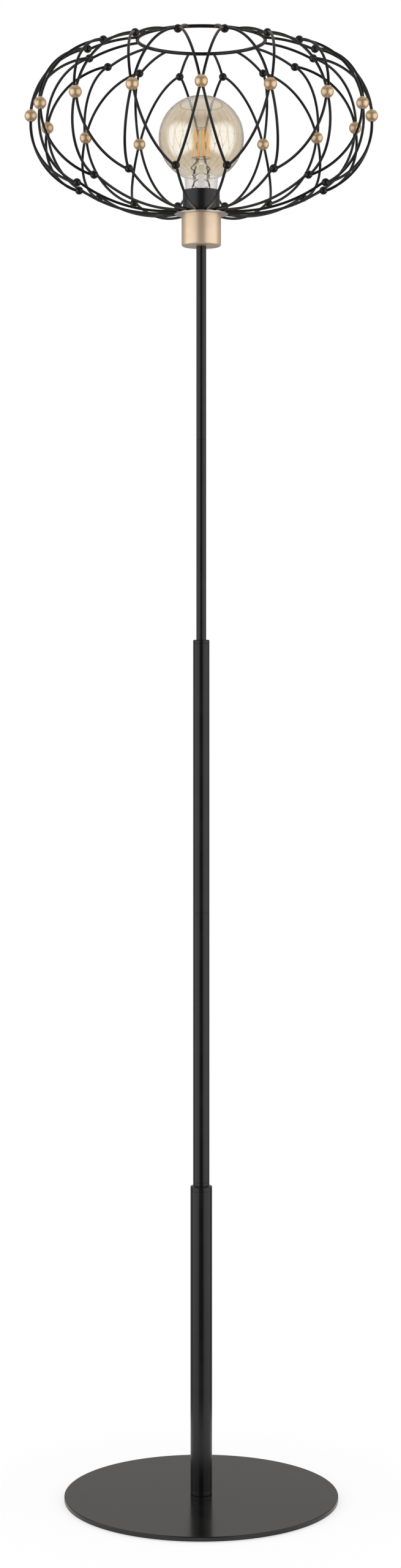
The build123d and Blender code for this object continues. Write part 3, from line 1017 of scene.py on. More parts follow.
def recipe_balls() -> bpy.types.NodeTree:
    """Tree that makes a row of balls, with a small oval collar above and below each where it is asked.

    Returns:
        The tree.
    """
    recipe = Recipe("balls_around_pole", Count=Socket.COUNT, First_angle=Socket.LENGTH, Radius=Socket.LENGTH,
                    Place=Socket.PLACE, Collars=Socket.SWITCH, Collar_height=Socket.LENGTH,
                    Collar_reach=Socket.PLACE, Collar_wire=Socket.LENGTH)
    ball = recipe.make("MeshUVSphere", Segments=48, Rings=24, Radius=recipe["Radius"])
    loop = recipe.make("CurvePrimitiveCircle", Resolution=36, Radius=1.0)
    lip = recipe.make("CurvePrimitiveCircle", Resolution=10, Radius=recipe["Collar wire"])
    collars = []
    for side in (1, -1):
        lift = recipe.out("ShaderNodeCombineXYZ", inputs={"Z": recipe["Collar height"] * side})
        oval = recipe.make("Transform", Geometry=loop, Translation=lift, Scale=recipe["Collar reach"])
        collars.append(recipe.make("CurveToMesh", Curve=oval, Profile_Curve=lip))
    pair = recipe.out("GeometryNodeSwitch", inputs={
        "Switch": recipe["Collars"], "True": recipe.joined(*collars)})
    shape = recipe.make("Transform", Geometry=recipe.joined(ball, pair), Translation=recipe["Place"])
    return recipe.finish(recipe.around_pole(recipe.make("SetShadeSmooth", Geometry=shape)))


def recipe_thread() -> bpy.types.NodeTree:
    """Tree that rolls a sheet into a shell with a rolled screw thread between two plain ends.

    Returns:
        The tree.
    """
    recipe = Recipe("rolled_thread", Crest=Socket.LENGTH, Root=Socket.LENGTH, Bottom=Socket.LENGTH,
                    Top=Socket.LENGTH, Pitch=Socket.LENGTH, Plain_end=Socket.LENGTH)
    sheet = recipe.make("MeshGrid", Size_X=1.0, Size_Y=1.0, Vertices_X=97, Vertices_Y=97)
    spot = recipe.make("InputPosition")
    angle = recipe.part(spot, 0) * TURN
    height = (recipe.part(spot, 1) + 0.5) * (recipe["Top"] - recipe["Bottom"]) + recipe["Bottom"]
    ridge = (height * TURN / recipe["Pitch"] - angle).cosine() * 0.5 + 0.5
    from_bottom = (height - recipe["Bottom"]) / recipe["Plain end"]
    from_top = (recipe["Top"] - height) / recipe["Plain end"]
    run_in = (0.6, 0.6)  # The thread starts here and is full after this, as shares of the plain end.
    threaded = from_bottom.above(*run_in) * from_top.above(*run_in)
    radius = recipe["Crest"] - (recipe["Crest"] - recipe["Root"]) * (1 - ridge) * threaded
    place = recipe.out("ShaderNodeCombineXYZ", inputs={
        "X": radius * angle.cosine(), "Y": radius * angle.sine(), "Z": height})
    rolled = recipe.make("SetPosition", Geometry=sheet, Position=place)
    closed = recipe.make("MergeByDistance", Geometry=rolled, Distance=TINY)
    return recipe.finish(recipe.make("SetShadeSmooth", Geometry=closed))


class Workshop:
    """Runs the geometry trees on objects and keeps plain meshes."""

    def __init__(self) -> None:
        """Builds each tree once."""
        self.copies = recipe_copies()
        self.wires = recipe_wires()
        self.balls = recipe_balls()
        self.thread = recipe_thread()

    def run(self, piece: Piece, tree: bpy.types.NodeTree, values: dict[str, Any]) -> Piece:
        """Applies a tree to an object for good.

        Args:
            piece: Object whose mesh the tree takes.
            tree: One of the workshop's trees.
            values: The tree's inputs by name.

        Returns:
            The same object, with a plain mesh and no modifier.
        """
        modifier = piece.modifiers.new(tree.name, "NODES")
        modifier.node_group = tree
        sockets = {item.name: item.identifier for item in tree.interface.items_tree if item.in_out == "INPUT"}
        for label, value in values.items():
            modifier[sockets[label]] = value
        return self.settle(piece)

    def settle(self, piece: Piece) -> Piece:
        """Turns what the modifiers make into the object's own plain mesh.

        Args:
            piece: Object with modifiers.

        Returns:
            The same object without them.
        """
        bpy.context.view_layer.update()
        evaluated = piece.evaluated_get(bpy.context.evaluated_depsgraph_get())
        mesh = bpy.data.meshes.new_from_object(evaluated)
        mesh.name = piece.name
        piece.modifiers.clear()
        piece.data = mesh
        return piece

    def wire_row(self, name: str, path: Sequence[Vector], radius: float, coat: Coat, count: int = 1,
                 first: float = 0.0, sides: int = 16, widths: Optional[Sequence[float]] = None) -> Piece:
        """Round wires along a path, repeated round the pole.

        Args:
            name: Name of the piece.
            path: Points of the first wire.
            radius: Radius of the wire.
            coat: Finish.
            count: Number of wires.
            first: Angle of the first wire, in radians.
            sides: Faces round the wire.
            widths: Share of the radius at each point, where it isn't the same all along.

        Returns:
            The piece.
        """
        piece = mesh_object(name, path, [(i, i + 1) for i in range(len(path) - 1)])
        width = piece.data.attributes.new("width", "FLOAT", "POINT")
        width.data.foreach_set("value", list(widths or [1.0] * len(path)))
        self.run(piece, self.wires, {
            "Count": count, "First angle": first, "Radius": radius, "Sides": sides,
            "Material": coat.material})
        if "width" in piece.data.attributes:
            piece.data.attributes.remove(piece.data.attributes["width"])
        return piece


# ---- the lamp ------------------------------------------------------------------------------------


@dataclass
class Assembly:
    """Pieces that belong together and ride on one body."""

    shop: Workshop
    body: str = "root"

    def add(self, piece: Piece, coat: Coat, *nodes: str) -> None:
        """Dresses a piece and puts it in place of the nodes that it stands for.

        Args:
            piece: Finished mesh object.
            coat: Its finish.
            nodes: Nodes of the frame that it replaces.
        """
        piece.data.materials.clear()
        piece.data.materials.append(coat.material)
        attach(piece, self.body)
        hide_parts(*nodes)
        LOG.info("%s: %d faces, %s, for %s", piece.name, len(piece.data.polygons), coat.slot,
                 ", ".join(nodes))

    def add_turned(self, name: str, coat: Coat, node: str, corners: Sequence[Corner], steps: int = 6,
                   segments: int = 96) -> None:
        """Makes and adds a piece turned about the pole.

        Args:
            name: Name of the piece.
            coat: Its finish.
            node: Node that it replaces.
            corners: Radius, height and rounding of its section's corners.
            steps: Faces in each rounding.
            segments: Steps round the pole.
        """
        self.add(turned(name, rounded(corners, steps), segments), coat, node)

    def add_ring(self, name: str, coat: Coat, node: str, inner: float, edge: float,
                 segments: int = 128) -> None:
        """Makes and adds a plain ring about the pole, with the bore and the edge given."""
        self.add(turned(name, ring_section(Span(node), inner, edge), segments), coat, node)


@dataclass
class Base(Assembly):
    """Steel disc and its felt pads."""

    bolt_r: float = 4.05 * MM
    bolt_head_r: float = 8.05 * MM
    bolt_sink: float = 4.0 * MM
    bolt_recess: float = 0.2 * MM
    top_round: float = 1.0 * MM
    low_round: float = 0.5 * MM
    pad_count: int = 6
    pad_round: float = 0.35 * MM
    pad_circle_r: float = 132 * MM
    pad_r: float = 9 * MM

    def build(self) -> None:
        """Makes the disc and the pads."""
        span = Span("base_plate")
        recess_top = span.bottom + self.bolt_recess
        self.add_turned("base_disc", Coat.BLACK_BASE, "base_plate", [
            (self.bolt_r, span.top, 0), (span.radius, span.top, self.top_round),
            (span.radius, span.bottom, self.low_round), (self.bolt_head_r, span.bottom, 0),
            (self.bolt_head_r, recess_top, 0), (self.bolt_r, recess_top + self.bolt_sink, 0),
        ], segments=256)
        span = Span("felt_pads")
        pad = turned("felt_feet", rounded([
            (self.pad_r / 2, span.bottom, 0), (self.pad_r, span.bottom, self.pad_round),
            (self.pad_r, span.top, 0), (self.pad_r / 2, span.top, 0)], steps=3), segments=48)
        self.close_middle(pad)
        pad.data.transform(Matrix.Translation((self.pad_circle_r, 0, 0)))
        self.shop.run(pad, self.shop.copies, {
            "Count": self.pad_count, "First angle": TURN / self.pad_count / 2,
            "Material": Coat.FELT.material})
        self.add(pad, Coat.FELT, "felt_pads")

    @staticmethod
    def close_middle(pad: Piece) -> None:
        """Fills the middle of a turned ring, so that it is a solid disc.

        Args:
            pad: The ring, about the pole.
        """
        work = bmesh.new()
        work.from_mesh(pad.data)
        inner = min(v.co.xy.length for v in work.verts)
        wall = [f for f in work.faces if all(v.co.xy.length < inner + TINY for v in f.verts)]
        bmesh.ops.delete(work, geom=wall, context="FACES_ONLY")
        bmesh.ops.holes_fill(work, edges=[e for e in work.edges if e.is_boundary], sides=0)
        bmesh.ops.recalc_face_normals(work, faces=work.faces)
        work.to_mesh(pad.data)
        work.free()


@dataclass
class Pole(Assembly):
    """Three diameters of tube with the turned ends between them."""

    lower_wall: float = 1.5 * MM
    middle_wall: float = 1.5 * MM
    top_wall: float = 1.25 * MM
    slip: float = 0.05 * MM
    edge: float = 0.25 * MM
    foot_edge: float = 0.5 * MM
    foot_flange: float = 4.5 * MM
    foot_bore_r: float = 4.05 * MM
    foot_bore_depth: float = 11.25 * MM
    lower_cap_flange: float = 5.3 * MM
    lower_cap_round: float = 1.1 * MM
    stud_r: float = 6.0 * MM
    stud_length: float = 12.0 * MM
    neck_r: float = 8.2 * MM
    neck_height: float = 1.2 * MM
    middle_foot_flange: float = 2.9 * MM
    middle_cap_flange: float = 4.1 * MM
    middle_cap_round: float = 1.2 * MM
    socket_depth: float = 12.0 * MM
    lead_bore_r: float = 4.0 * MM
    inlet_r: float = 4.8 * MM

    def build(self) -> None:
        """Makes every length and collar from the floor up."""
        self.build_foot()
        self.build_lower_tube()
        self.build_lower_cap()
        self.build_middle_foot()
        self.build_middle_cap()
        for level, wall in (("middle", self.middle_wall), ("top", self.top_wall)):
            for end, order in (("lower", "first"), ("upper", "second")):
                node = f"{level}_tube_{end}"
                bore = Span(node).radius - wall
                self.add_ring(f"{level}_pole_{order}", Coat.BLACK_COAT, node, bore, self.edge, segments=96)

    def build_foot(self) -> None:
        """Collar on the base with its threaded hole and the spigot inside the tube."""
        span = Span("foot_insert")
        shelf = span.bottom + self.foot_flange
        spigot_r = span.radius - self.lower_wall - self.slip
        bore_top = span.bottom + self.foot_bore_depth
        self.add_turned("foot_collar", Coat.BLACK_COAT, "foot_insert", [
            (0, bore_top, 0), (self.foot_bore_r, bore_top, 0), (self.foot_bore_r, span.bottom, 0),
            (span.radius, span.bottom, self.foot_edge), (span.radius, shelf, self.foot_edge),
            (spigot_r, shelf, 0), (spigot_r, span.top, self.foot_edge), (0, span.top, 0),
        ], steps=4)

    def build_lower_tube(self) -> None:
        """Lower tube with the cable hole cut in its back."""
        span = Span("lower_tube")
        wall = ring_section(span, span.radius - self.lower_wall, self.edge)
        tube = turned("lower_pole", wall, segments=128)
        corners = [(0, 0), (self.inlet_r, 0), (self.inlet_r, span.radius), (0, span.radius)]
        drill = turned("inlet_drill", corners, segments=64)
        drill.data.transform(Matrix.Rotation(-math.pi / 2, 4, "X"))
        drill.data.transform(Matrix.Translation((0, span.radius / 2, Span("cable_grommet").middle)))
        cut = tube.modifiers.new("inlet", "BOOLEAN")
        cut.object = drill
        cut.solver = "EXACT"
        self.shop.settle(tube)
        bpy.data.objects.remove(drill)
        shade_smooth(tube)
        self.add(tube, Coat.BLACK_COAT, "lower_tube")

    def build_lower_cap(self) -> None:
        """Rounded cap of the lower tube with the threaded hole for the middle tube."""
        span = Span("lower_cap")
        shelf = span.top - self.lower_cap_flange
        spigot_r = span.radius - self.lower_wall - self.slip
        bore = self.stud_r + self.slip
        self.add_turned("lower_pole_cap", Coat.BLACK_COAT, "lower_cap", [
            (bore, span.bottom, 0), (spigot_r, span.bottom, self.edge), (spigot_r, shelf, 0),
            (span.radius, shelf, self.edge), (span.radius, span.top, self.lower_cap_round),
            (bore, span.top, 0),
        ])

    def build_middle_foot(self) -> None:
        """Foot of the middle tube, with its stud below and its spigot above a shadow line."""
        span = Span("middle_foot")
        neck_bottom = span.bottom + self.stud_length
        flange_bottom = neck_bottom + self.neck_height
        flange_top = flange_bottom + self.middle_foot_flange
        spigot_r = span.radius - self.middle_wall - self.slip
        self.add_turned("middle_pole_foot", Coat.BLACK_COAT, "middle_foot", [
            (self.lead_bore_r, span.bottom, 0), (self.stud_r, span.bottom, self.edge),
            (self.stud_r, neck_bottom, 0), (self.neck_r, neck_bottom, 0), (self.neck_r, flange_bottom, 0),
            (span.radius, flange_bottom, self.edge), (span.radius, flange_top, self.edge),
            (spigot_r, flange_top, 0), (spigot_r, span.top, self.edge), (self.lead_bore_r, span.top, 0),
        ], steps=4)

    def build_middle_cap(self) -> None:
        """Rounded cap of the middle tube with the socket for the top tube."""
        span = Span("middle_cap")
        shelf = span.top - self.middle_cap_flange
        spigot_r = Span("middle_foot").radius - self.middle_wall - self.slip
        socket_r = Span("top_tube_lower").radius + self.slip
        floor = span.top - self.socket_depth
        self.add_turned("middle_pole_cap", Coat.BLACK_COAT, "middle_cap", [
            (self.lead_bore_r, span.bottom, 0), (spigot_r, span.bottom, self.edge), (spigot_r, shelf, 0),
            (span.radius, shelf, self.edge), (span.radius, span.top, self.middle_cap_round),
            (socket_r, span.top, 0), (socket_r, floor, 0), (self.lead_bore_r, floor, 0),
        ])


@dataclass
class Inlet(Assembly):
    """Rubber grommet in the back of the lower tube."""

    crease: float = math.radians(40)

    def build(self) -> None:
        """Smooths a copy of the frame's own shape, which is already the moulded one."""
        grommet = linked("inlet_grommet", bpy.data.objects["cable_grommet"].data.copy())
        smooth(grommet, self.crease)
        self.add(grommet, Coat.RUBBER, "cable_grommet")


@dataclass
class Lampholder(Assembly):
    """Gold cup, plate of the cage, skirt and the shell of the lampholder."""

    cup_wall: float = 1.2 * MM
    cup_round: float = 2.2 * MM
    cup_lip: float = 0.35 * MM
    nipple_r: float = 5.05 * MM
    holder_r: float = 19.25 * MM
    plate_edge: float = 0.3 * MM
    skirt_edge: float = 0.35 * MM
    shell_wall: float = 2.0 * MM
    sleeve_r: float = 13.8 * MM
    collar: float = 3.0 * MM

    def build(self) -> None:
        """Makes the pieces that show round the foot of the bulb."""
        span = Span("cup")
        inner, floor = span.radius - self.cup_wall, span.bottom + self.cup_wall
        self.add_turned("gold_cup", Coat.GOLD_LACQUER, "cup", [
            (self.nipple_r, span.bottom, 0), (span.radius, span.bottom, self.cup_round),
            (span.radius, span.top, self.cup_lip), (inner, span.top, self.cup_lip),
            (inner, floor, self.cup_round - self.cup_wall), (self.nipple_r, floor, 0),
        ], steps=8, segments=128)
        self.add_ring("cage_plate", Coat.ZINC_PLATE, "hub_plate", self.holder_r, self.plate_edge)
        self.add_ring("skirt", Coat.BLACK_PLASTIC, "shade_ring", self.holder_r, self.skirt_edge)
        span = Span("holder_shell")
        inner, ledge = span.radius - self.shell_wall, span.top - self.collar
        self.add_turned("holder_barrel", Coat.BLACK_PLASTIC, "holder_shell", [
            (inner, span.bottom, 0), (span.radius, span.bottom, 0), (span.radius, span.top, self.skirt_edge),
            (self.sleeve_r, span.top, self.skirt_edge), (self.sleeve_r, ledge, 0), (inner, ledge, 0),
        ], steps=4)


@dataclass(frozen=True)
class BallRow:
    """A row of balls round the pole: their radius, distance and height, and the first one's angle."""

    ball_r: float
    reach: float
    height: float
    first: float


@dataclass
class Cage(Assembly):
    """Bent wires and balls of the cage, all repeated round the pole."""

    count: int = 16
    wire_r: float = 1.5 * MM
    wire_pitch: float = 3.3 * MM
    gold_seat: float = 5.0 * MM
    black_seat: float = 2.9 * MM
    upper_bow: float = 14.6 * MM
    lower_bow: float = 15.0 * MM
    arm_bow: float = 2.6 * MM
    arm_end_r: float = 21.2 * MM
    arm_flat_r: float = 45 * MM
    flat_steps: int = 4
    rise_steps: int = 40
    ring_steps: int = 256
    ring_sides: int = 24
    collar_wire: float = 0.45 * MM
    collar_height: float = 0.9

    def __post_init__(self) -> None:
        """Reads the three rows of balls, the ring and the plate."""
        self.half = TURN / self.count / 2
        self.rows: dict[str, BallRow] = {}
        for level, first in (("gold", 0.0), ("upper", self.half), ("lower", self.half)):
            span = Span(f"{level}_balls")
            reach = (span.high.x - span.half_height) / math.cos(first)
            self.rows[level] = BallRow(span.half_height, reach, span.middle, first)
        ring = Span("top_ring")
        self.ring_z, self.ring_wire = ring.middle, ring.half_height
        self.ring_r = ring.radius - self.ring_wire
        self.plate_z = Span("hub_plate").top

    def build(self) -> None:
        """Makes the rows of balls, then the wires between them and the ring."""
        for level, coat in (("gold", Coat.GOLD_BEAD), ("upper", Coat.BLACK_COAT), ("lower", Coat.BLACK_COAT)):
            self.add_balls(level, coat)
        for level in ("upper", "lower"):
            for hand, side in (("right", 1), ("left", -1)):
                self.add_wires(f"{level}_{hand}_bends", self.bend(level, side), 0.0, f"{level}_{hand}_wires")
        self.add_wires("upper_spokes", self.upper_arm(), self.half, "upper_arms")
        self.add_wires("lower_spokes", self.lower_arm(), self.half, "lower_arms")
        section = circle((self.ring_r, self.ring_z), self.ring_wire, self.ring_sides)
        self.add(turned("crown_ring", section, self.ring_steps), Coat.BLACK_COAT, "top_ring")

    def add_balls(self, level: str, coat: Coat) -> None:
        """Makes and adds one row of balls.

        Args:
            level: Which row: gold, upper or lower.
            coat: Finish. Gold balls get collars where the pairs of wires go in.
        """
        row = self.rows[level]
        half_wide = self.wire_pitch / 2 + self.wire_r + self.collar_wire / 2
        half_deep = self.wire_r + self.collar_wire / 2
        balls = mesh_object(f"{level}_beads", [(row.reach, 0, row.height)])
        self.shop.run(balls, self.shop.balls, {
            "Count": self.count, "First angle": row.first, "Radius": row.ball_r,
            "Place": (row.reach, 0.0, row.height), "Collars": level == "gold",
            "Collar height": row.ball_r * self.collar_height, "Collar reach": (half_deep, half_wide, 1.0),
            "Collar wire": self.collar_wire, "Material": coat.material})
        self.add(balls, coat, f"{level}_balls")

    def add_wires(self, name: str, path: Sequence[Vector], first: float, node: str) -> None:
        """Makes and adds one kind of wire, repeated round the pole from the first angle."""
        wires = self.shop.wire_row(name, path, self.wire_r, Coat.BLACK_COAT, self.count, first)
        self.add(wires, Coat.BLACK_COAT, node)

    def bend(self, level: str, side: int) -> list[Vector]:
        """Path from the front gold ball to the black ball half a step aside.

        Args:
            level: Row of the black ball: upper or lower.
            side: 1 for the ball at the greater angle, -1 for the other.

        Returns:
            Points of the path.
        """
        up, bow = (1, self.upper_bow) if level == "upper" else (-1, self.lower_bow)
        gold, black = self.rows["gold"], self.rows[level]
        offset = side * self.wire_pitch / 2
        start = Vector((gold.reach, offset, gold.height + up * self.gold_seat))
        end = Vector((black.reach + self.black_seat, -offset, black.height))
        return bowed(start, Matrix.Rotation(side * self.half, 3, "Z") @ end, bow)

    def upper_arm(self) -> list[Vector]:
        """Path from an upper ball in to the ring.

        Returns:
            Points of the path.
        """
        row = self.rows["upper"]
        start = Vector((row.reach - self.black_seat, 0, row.height))
        return bowed(start, Vector((self.ring_r, 0, self.ring_z)), self.arm_bow)

    def lower_arm(self) -> list[Vector]:
        """Path that lies level on the plate, then rises in one arc to a lower ball.

        Returns:
            Points of the path.
        """
        row = self.rows["lower"]
        level = self.plate_z + self.wire_r
        start = Vector((self.arm_end_r, 0, level))
        knee = Vector((self.arm_flat_r, 0, level))
        end = Vector((row.reach - self.black_seat, 0, row.height))
        chord = end - knee
        bow = chord.length / 2 * math.tan(OUTWARDS.angle(chord) / 2)
        flat = [start.lerp(knee, step / self.flat_steps) for step in range(self.flat_steps)]
        return flat + bowed(knee, end, bow, self.rise_steps)


@dataclass
class BulbFoot(Assembly):
    """Tip contact and black insulator, which rise with the bulb without turning."""

    body: str = "bulb_lift"
    tip_round: float = 0.7 * MM
    tip_steps: int = 8
    insulator_lip: float = 1.0 * MM
    insulator_rim: float = 1.4 * MM

    def build(self) -> None:
        """Makes the soldered tip as a low dome and the insulator as a glossy cone."""
        tip = Span("bulb_contact")
        dome = [(tip.radius * math.sin(a), tip.bottom + 2 * tip.half_height * (1 - math.cos(a)))
                for a in (math.pi / 2 * step / self.tip_steps for step in range(self.tip_steps + 1))]
        contact = turned("tip_contact", [*dome, (0, tip.top)], segments=64)
        self.add(contact, Coat.SOLDER, "bulb_contact")
        cone = Span("bulb_insulator")
        self.add_turned("tip_insulator", Coat.CAP_GLASS, "bulb_insulator", [
            (0, cone.bottom, 0), (tip.radius + self.insulator_lip, cone.bottom, self.tip_round),
            (cone.radius, cone.top - self.insulator_rim, self.tip_round), (cone.radius, cone.top, 0),
            (0, cone.top, 0)], steps=5)


@dataclass
class Bulb(Assembly):
    """Glass, cap and everything inside the bulb that turns with it."""

    body: str = "bulb_turn"
    glass_wall: float = 0.9 * MM
    neck_r: float = 12.4 * MM
    shoulder_r: float = 17.7 * MM
    shoulder_rise: float = 5.6 * MM
    shoulder_round: float = 2.0 * MM
    collar_r: float = 19.1 * MM
    collar_rise: float = 20.0 * MM
    neck_round: float = 4.0 * MM
    globe_steps: int = 56
    neck_steps: int = 12
    stem_r: float = 2.0 * MM
    stem_head_r: float = 4.2 * MM
    stem_head: float = 2.0 * MM
    stem_flare_r: float = 5.0 * MM
    stem_foot: float = 10.0 * MM
    stem_flare: float = 28.5 * MM
    filament_count: int = 4
    stem_low_round: float = 0.2 * MM
    stem_foot_round: float = 0.3 * MM
    stem_flare_round: float = 3.0 * MM
    stem_waist_round: float = 6.0 * MM
    stem_head_round: float = 0.5 * MM
    stem_top_round: float = 0.6 * MM
    filament_r: float = 0.95 * MM
    filament_top_r: float = 6.6 * MM
    filament_low_r: float = 10.2 * MM
    filament_turn: float = math.radians(20)
    filament_top_gap: float = 2.4 * MM
    filament_length: float = 31.0 * MM
    filament_steps: int = 24
    filament_tip: float = 0.06
    filament_blunt: float = 0.08
    strut_r: float = 0.3 * MM
    lead_r: float = 0.6 * MM
    left_bends: tuple[Point2, ...] = (
        (9.6, 0.0), (10.8, 12.8), (8.2, 18.4), (8.7, 21.0), (6.8, 24.0), (10.2, 26.9), (7.8, 31.1),
        (11.9, 34.2), (7.8, 39.4), (5.9, 42.4), (5.9, 44.0))
    right_bends: tuple[Point2, ...] = (
        (9.6, 0.0), (10.5, 14.2), (8.6, 20.4), (6.9, 25.4), (9.7, 27.7), (7.4, 30.8), (10.3, 34.5),
        (5.5, 40.3), (5.5, 44.0))
    thread_pitch: float = 3.629 * MM
    thread_depth: float = 1.15 * MM
    plain_end: float = 2.6 * MM
    cap_wall: float = 0.35 * MM

    def __post_init__(self) -> None:
        """Reads the heights that the shapes hang on."""
        glass = Span("bulb_glass")
        self.globe_r = glass.radius
        self.globe_z = glass.top - self.globe_r
        self.neck_z = glass.bottom
        self.cap_top = Span("bulb_cap").top
        self.ring_z = Span("filament_ring").middle
        high_z = Span("bulb_stem").top - self.filament_top_gap
        drop = math.sqrt(self.filament_length ** 2 - (self.filament_low_r - self.filament_top_r) ** 2)
        self.filament_high = Vector((self.filament_top_r, 0, high_z))
        self.filament_low = Vector((self.filament_low_r, 0, high_z - drop))

    def build(self) -> None:
        """Makes the bulb from the glass inwards."""
        self.build_glass()
        self.build_cap()
        self.build_stem()
        self.build_filaments()
        self.build_carriers()
        self.build_lead_wires()

    def wall_section(self, inset: float) -> list[Point2]:
        """One side of the glass from the foot of the neck to the top of the globe.

        Args:
            inset: 0 for the outside, the wall's thickness for the inside.

        Returns:
            Points as radius and height.
        """
        foot = Vector((self.neck_r - inset, self.neck_z))
        knee = Vector((self.neck_r - inset, self.cap_top))
        shoulder = Vector((self.shoulder_r - inset, self.cap_top + self.shoulder_rise))
        slope = Vector((self.collar_r - self.shoulder_r, self.collar_rise)).normalized()
        outward = Vector((slope.y, -slope.x))
        globe_r, round_r = self.globe_r - inset, self.neck_round + inset
        globe = Vector((0, self.globe_z))
        start = shoulder + outward * round_r - globe
        ahead = start.dot(slope)
        run = -ahead - math.sqrt(ahead ** 2 - start.length_squared + (globe_r + round_r) ** 2)
        centre = shoulder + slope * run + outward * round_r
        first = math.atan2(-outward.y, -outward.x)
        last = math.atan2(globe.y - centre.y, globe.x - centre.x) + TURN
        first += TURN if first < 0 else 0
        last -= TURN if last > TURN else 0
        neck = rounded([
            (*foot, 0), (*knee, self.shoulder_round), (*shoulder, self.shoulder_round),
            (centre.x - round_r, centre.y, 0)], steps=8)[:-1]
        bend = arc(centre, round_r, first, last, self.neck_steps)
        tangent = globe + (centre - globe) * (globe_r / (globe_r + round_r))
        low = math.atan2(tangent.y - globe.y, tangent.x)
        ball = arc(globe, globe_r, low, math.pi / 2, self.globe_steps)[1:-1]
        return [*neck, *bend, *ball, (0.0, globe.y + globe_r)]

    def build_glass(self) -> None:
        """Globe and neck as one thin wall."""
        section = self.wall_section(0.0)[::-1] + self.wall_section(self.glass_wall)
        self.add(turned("globe_glass", section, segments=160), Coat.AMBER_GLASS, "bulb_glass")

    def build_cap(self) -> None:
        """Rolled nickel screw cap."""
        span = Span("bulb_cap")
        cap = mesh_object("screw_cap", [(0, 0, span.bottom)])
        self.shop.run(cap, self.shop.thread, {
            "Crest": span.radius, "Root": span.radius - self.thread_depth, "Bottom": span.bottom,
            "Top": span.top, "Pitch": self.thread_pitch, "Plain end": self.plain_end,
            "Material": Coat.NICKEL.material})
        wall = cap.modifiers.new("wall", "SOLIDIFY")
        wall.thickness = self.cap_wall
        wall.offset = -1.0
        self.shop.settle(cap)
        self.add(cap, Coat.NICKEL, "bulb_cap")

    def build_stem(self) -> None:
        """Pressed stem: foot, flare, column and flat head."""
        span = Span("bulb_stem")
        flare_bottom = span.bottom + self.stem_foot
        head = span.top - self.stem_head
        self.add_turned("glass_stem", Coat.CLEAR_GLASS, "bulb_stem", [
            (0, span.bottom, 0), (span.radius, span.bottom, self.stem_low_round),
            (span.radius, span.bottom + self.glass_wall, self.stem_foot_round),
            (self.stem_flare_r, flare_bottom, self.stem_flare_round),
            (self.stem_r, flare_bottom + self.stem_flare, self.stem_waist_round),
            (self.stem_r, head, self.stem_head_round), (self.stem_head_r, head, self.stem_head_round),
            (self.stem_head_r, span.top, self.stem_top_round), (0, span.top, 0),
        ], segments=64)

    def build_filaments(self) -> None:
        """Four coated strips, round at both ends."""
        shares = [step / self.filament_steps for step in range(self.filament_steps + 1)]
        path = [self.filament_high.lerp(self.filament_low, share) for share in shares]
        from_end = [min(share, 1 - share) / self.filament_tip for share in shares]
        widths = [math.sqrt(max(self.filament_blunt, 1 - max(0.0, 1 - near) ** 2)) for near in from_end]
        strips = self.shop.wire_row("filament_strips", path, self.filament_r, Coat.FILAMENT,
                                    self.filament_count, self.filament_turn, sides=20, widths=widths)
        self.add(strips, Coat.FILAMENT, "filaments")

    def build_carriers(self) -> None:
        """Ring below the filaments and the fine struts that carry them."""
        ring = turned("support_ring", circle((self.filament_low_r, self.ring_z), self.strut_r, steps=10))
        self.add(ring, Coat.FINE_WIRE, "filament_ring")
        drop = Vector((0, 0, self.strut_r * 2))
        on_ring = Vector((self.filament_low_r, 0, self.ring_z))
        lines = (
            (Vector((self.stem_r, 0, self.filament_high.z)) - drop, self.filament_high - drop),
            (Vector((self.stem_r, 0, self.ring_z)), on_ring),
            (on_ring, self.filament_low + Vector((0, 0, self.strut_r))),
        )
        carriers = [
            self.shop.wire_row("strip_carriers", softened([start, start.lerp(end, 0.5), end]), self.strut_r,
                               Coat.FINE_WIRE, self.filament_count, self.filament_turn, sides=10)
            for start, end in lines
        ]
        self.add(merged(carriers), Coat.FINE_WIRE, "filament_struts")

    def build_lead_wires(self) -> None:
        """Two crinkled wires from the foot of the stem up to the spokes of the ring."""
        foot = self.neck_z + self.glass_wall
        start = Span("lead_wires").bottom
        turn = Matrix.Rotation(self.filament_turn, 3, "Z")
        wires = []
        for side, bends in ((-1, self.left_bends), (1, self.right_bends)):
            heights = [max(start, foot + rise * MM) for _, rise in bends[:-1]] + [self.ring_z]
            corners = [turn @ Vector((side * reach * MM, 0, z)) for (reach, _), z in zip(bends, heights)]
            path = softened(corners)
            wires.append(self.shop.wire_row("crinkled_leads", path, self.lead_r, Coat.LEAD_WIRE, sides=12))
        self.add(merged(wires), Coat.LEAD_WIRE, "lead_wires")


def dress_hidden(nodes: dict[str, Piece]) -> None:
    """Gives the frame's own meshes their procedural finish, for the nodes that no piece replaces.

    Args:
        nodes: The frame's objects by node name.
    """
    coats = {coat.value.name: coat for coat in Coat}
    for _, piece in sorted(nodes.items()):
        for slot in piece.material_slots:
            if slot.material and slot.material.name in coats:
                slot.material = coats[slot.material.name].material
    LOG.info("%d nodes of the frame have their finish", len(nodes))


# ---- studio --------------------------------------------------------------------------------------


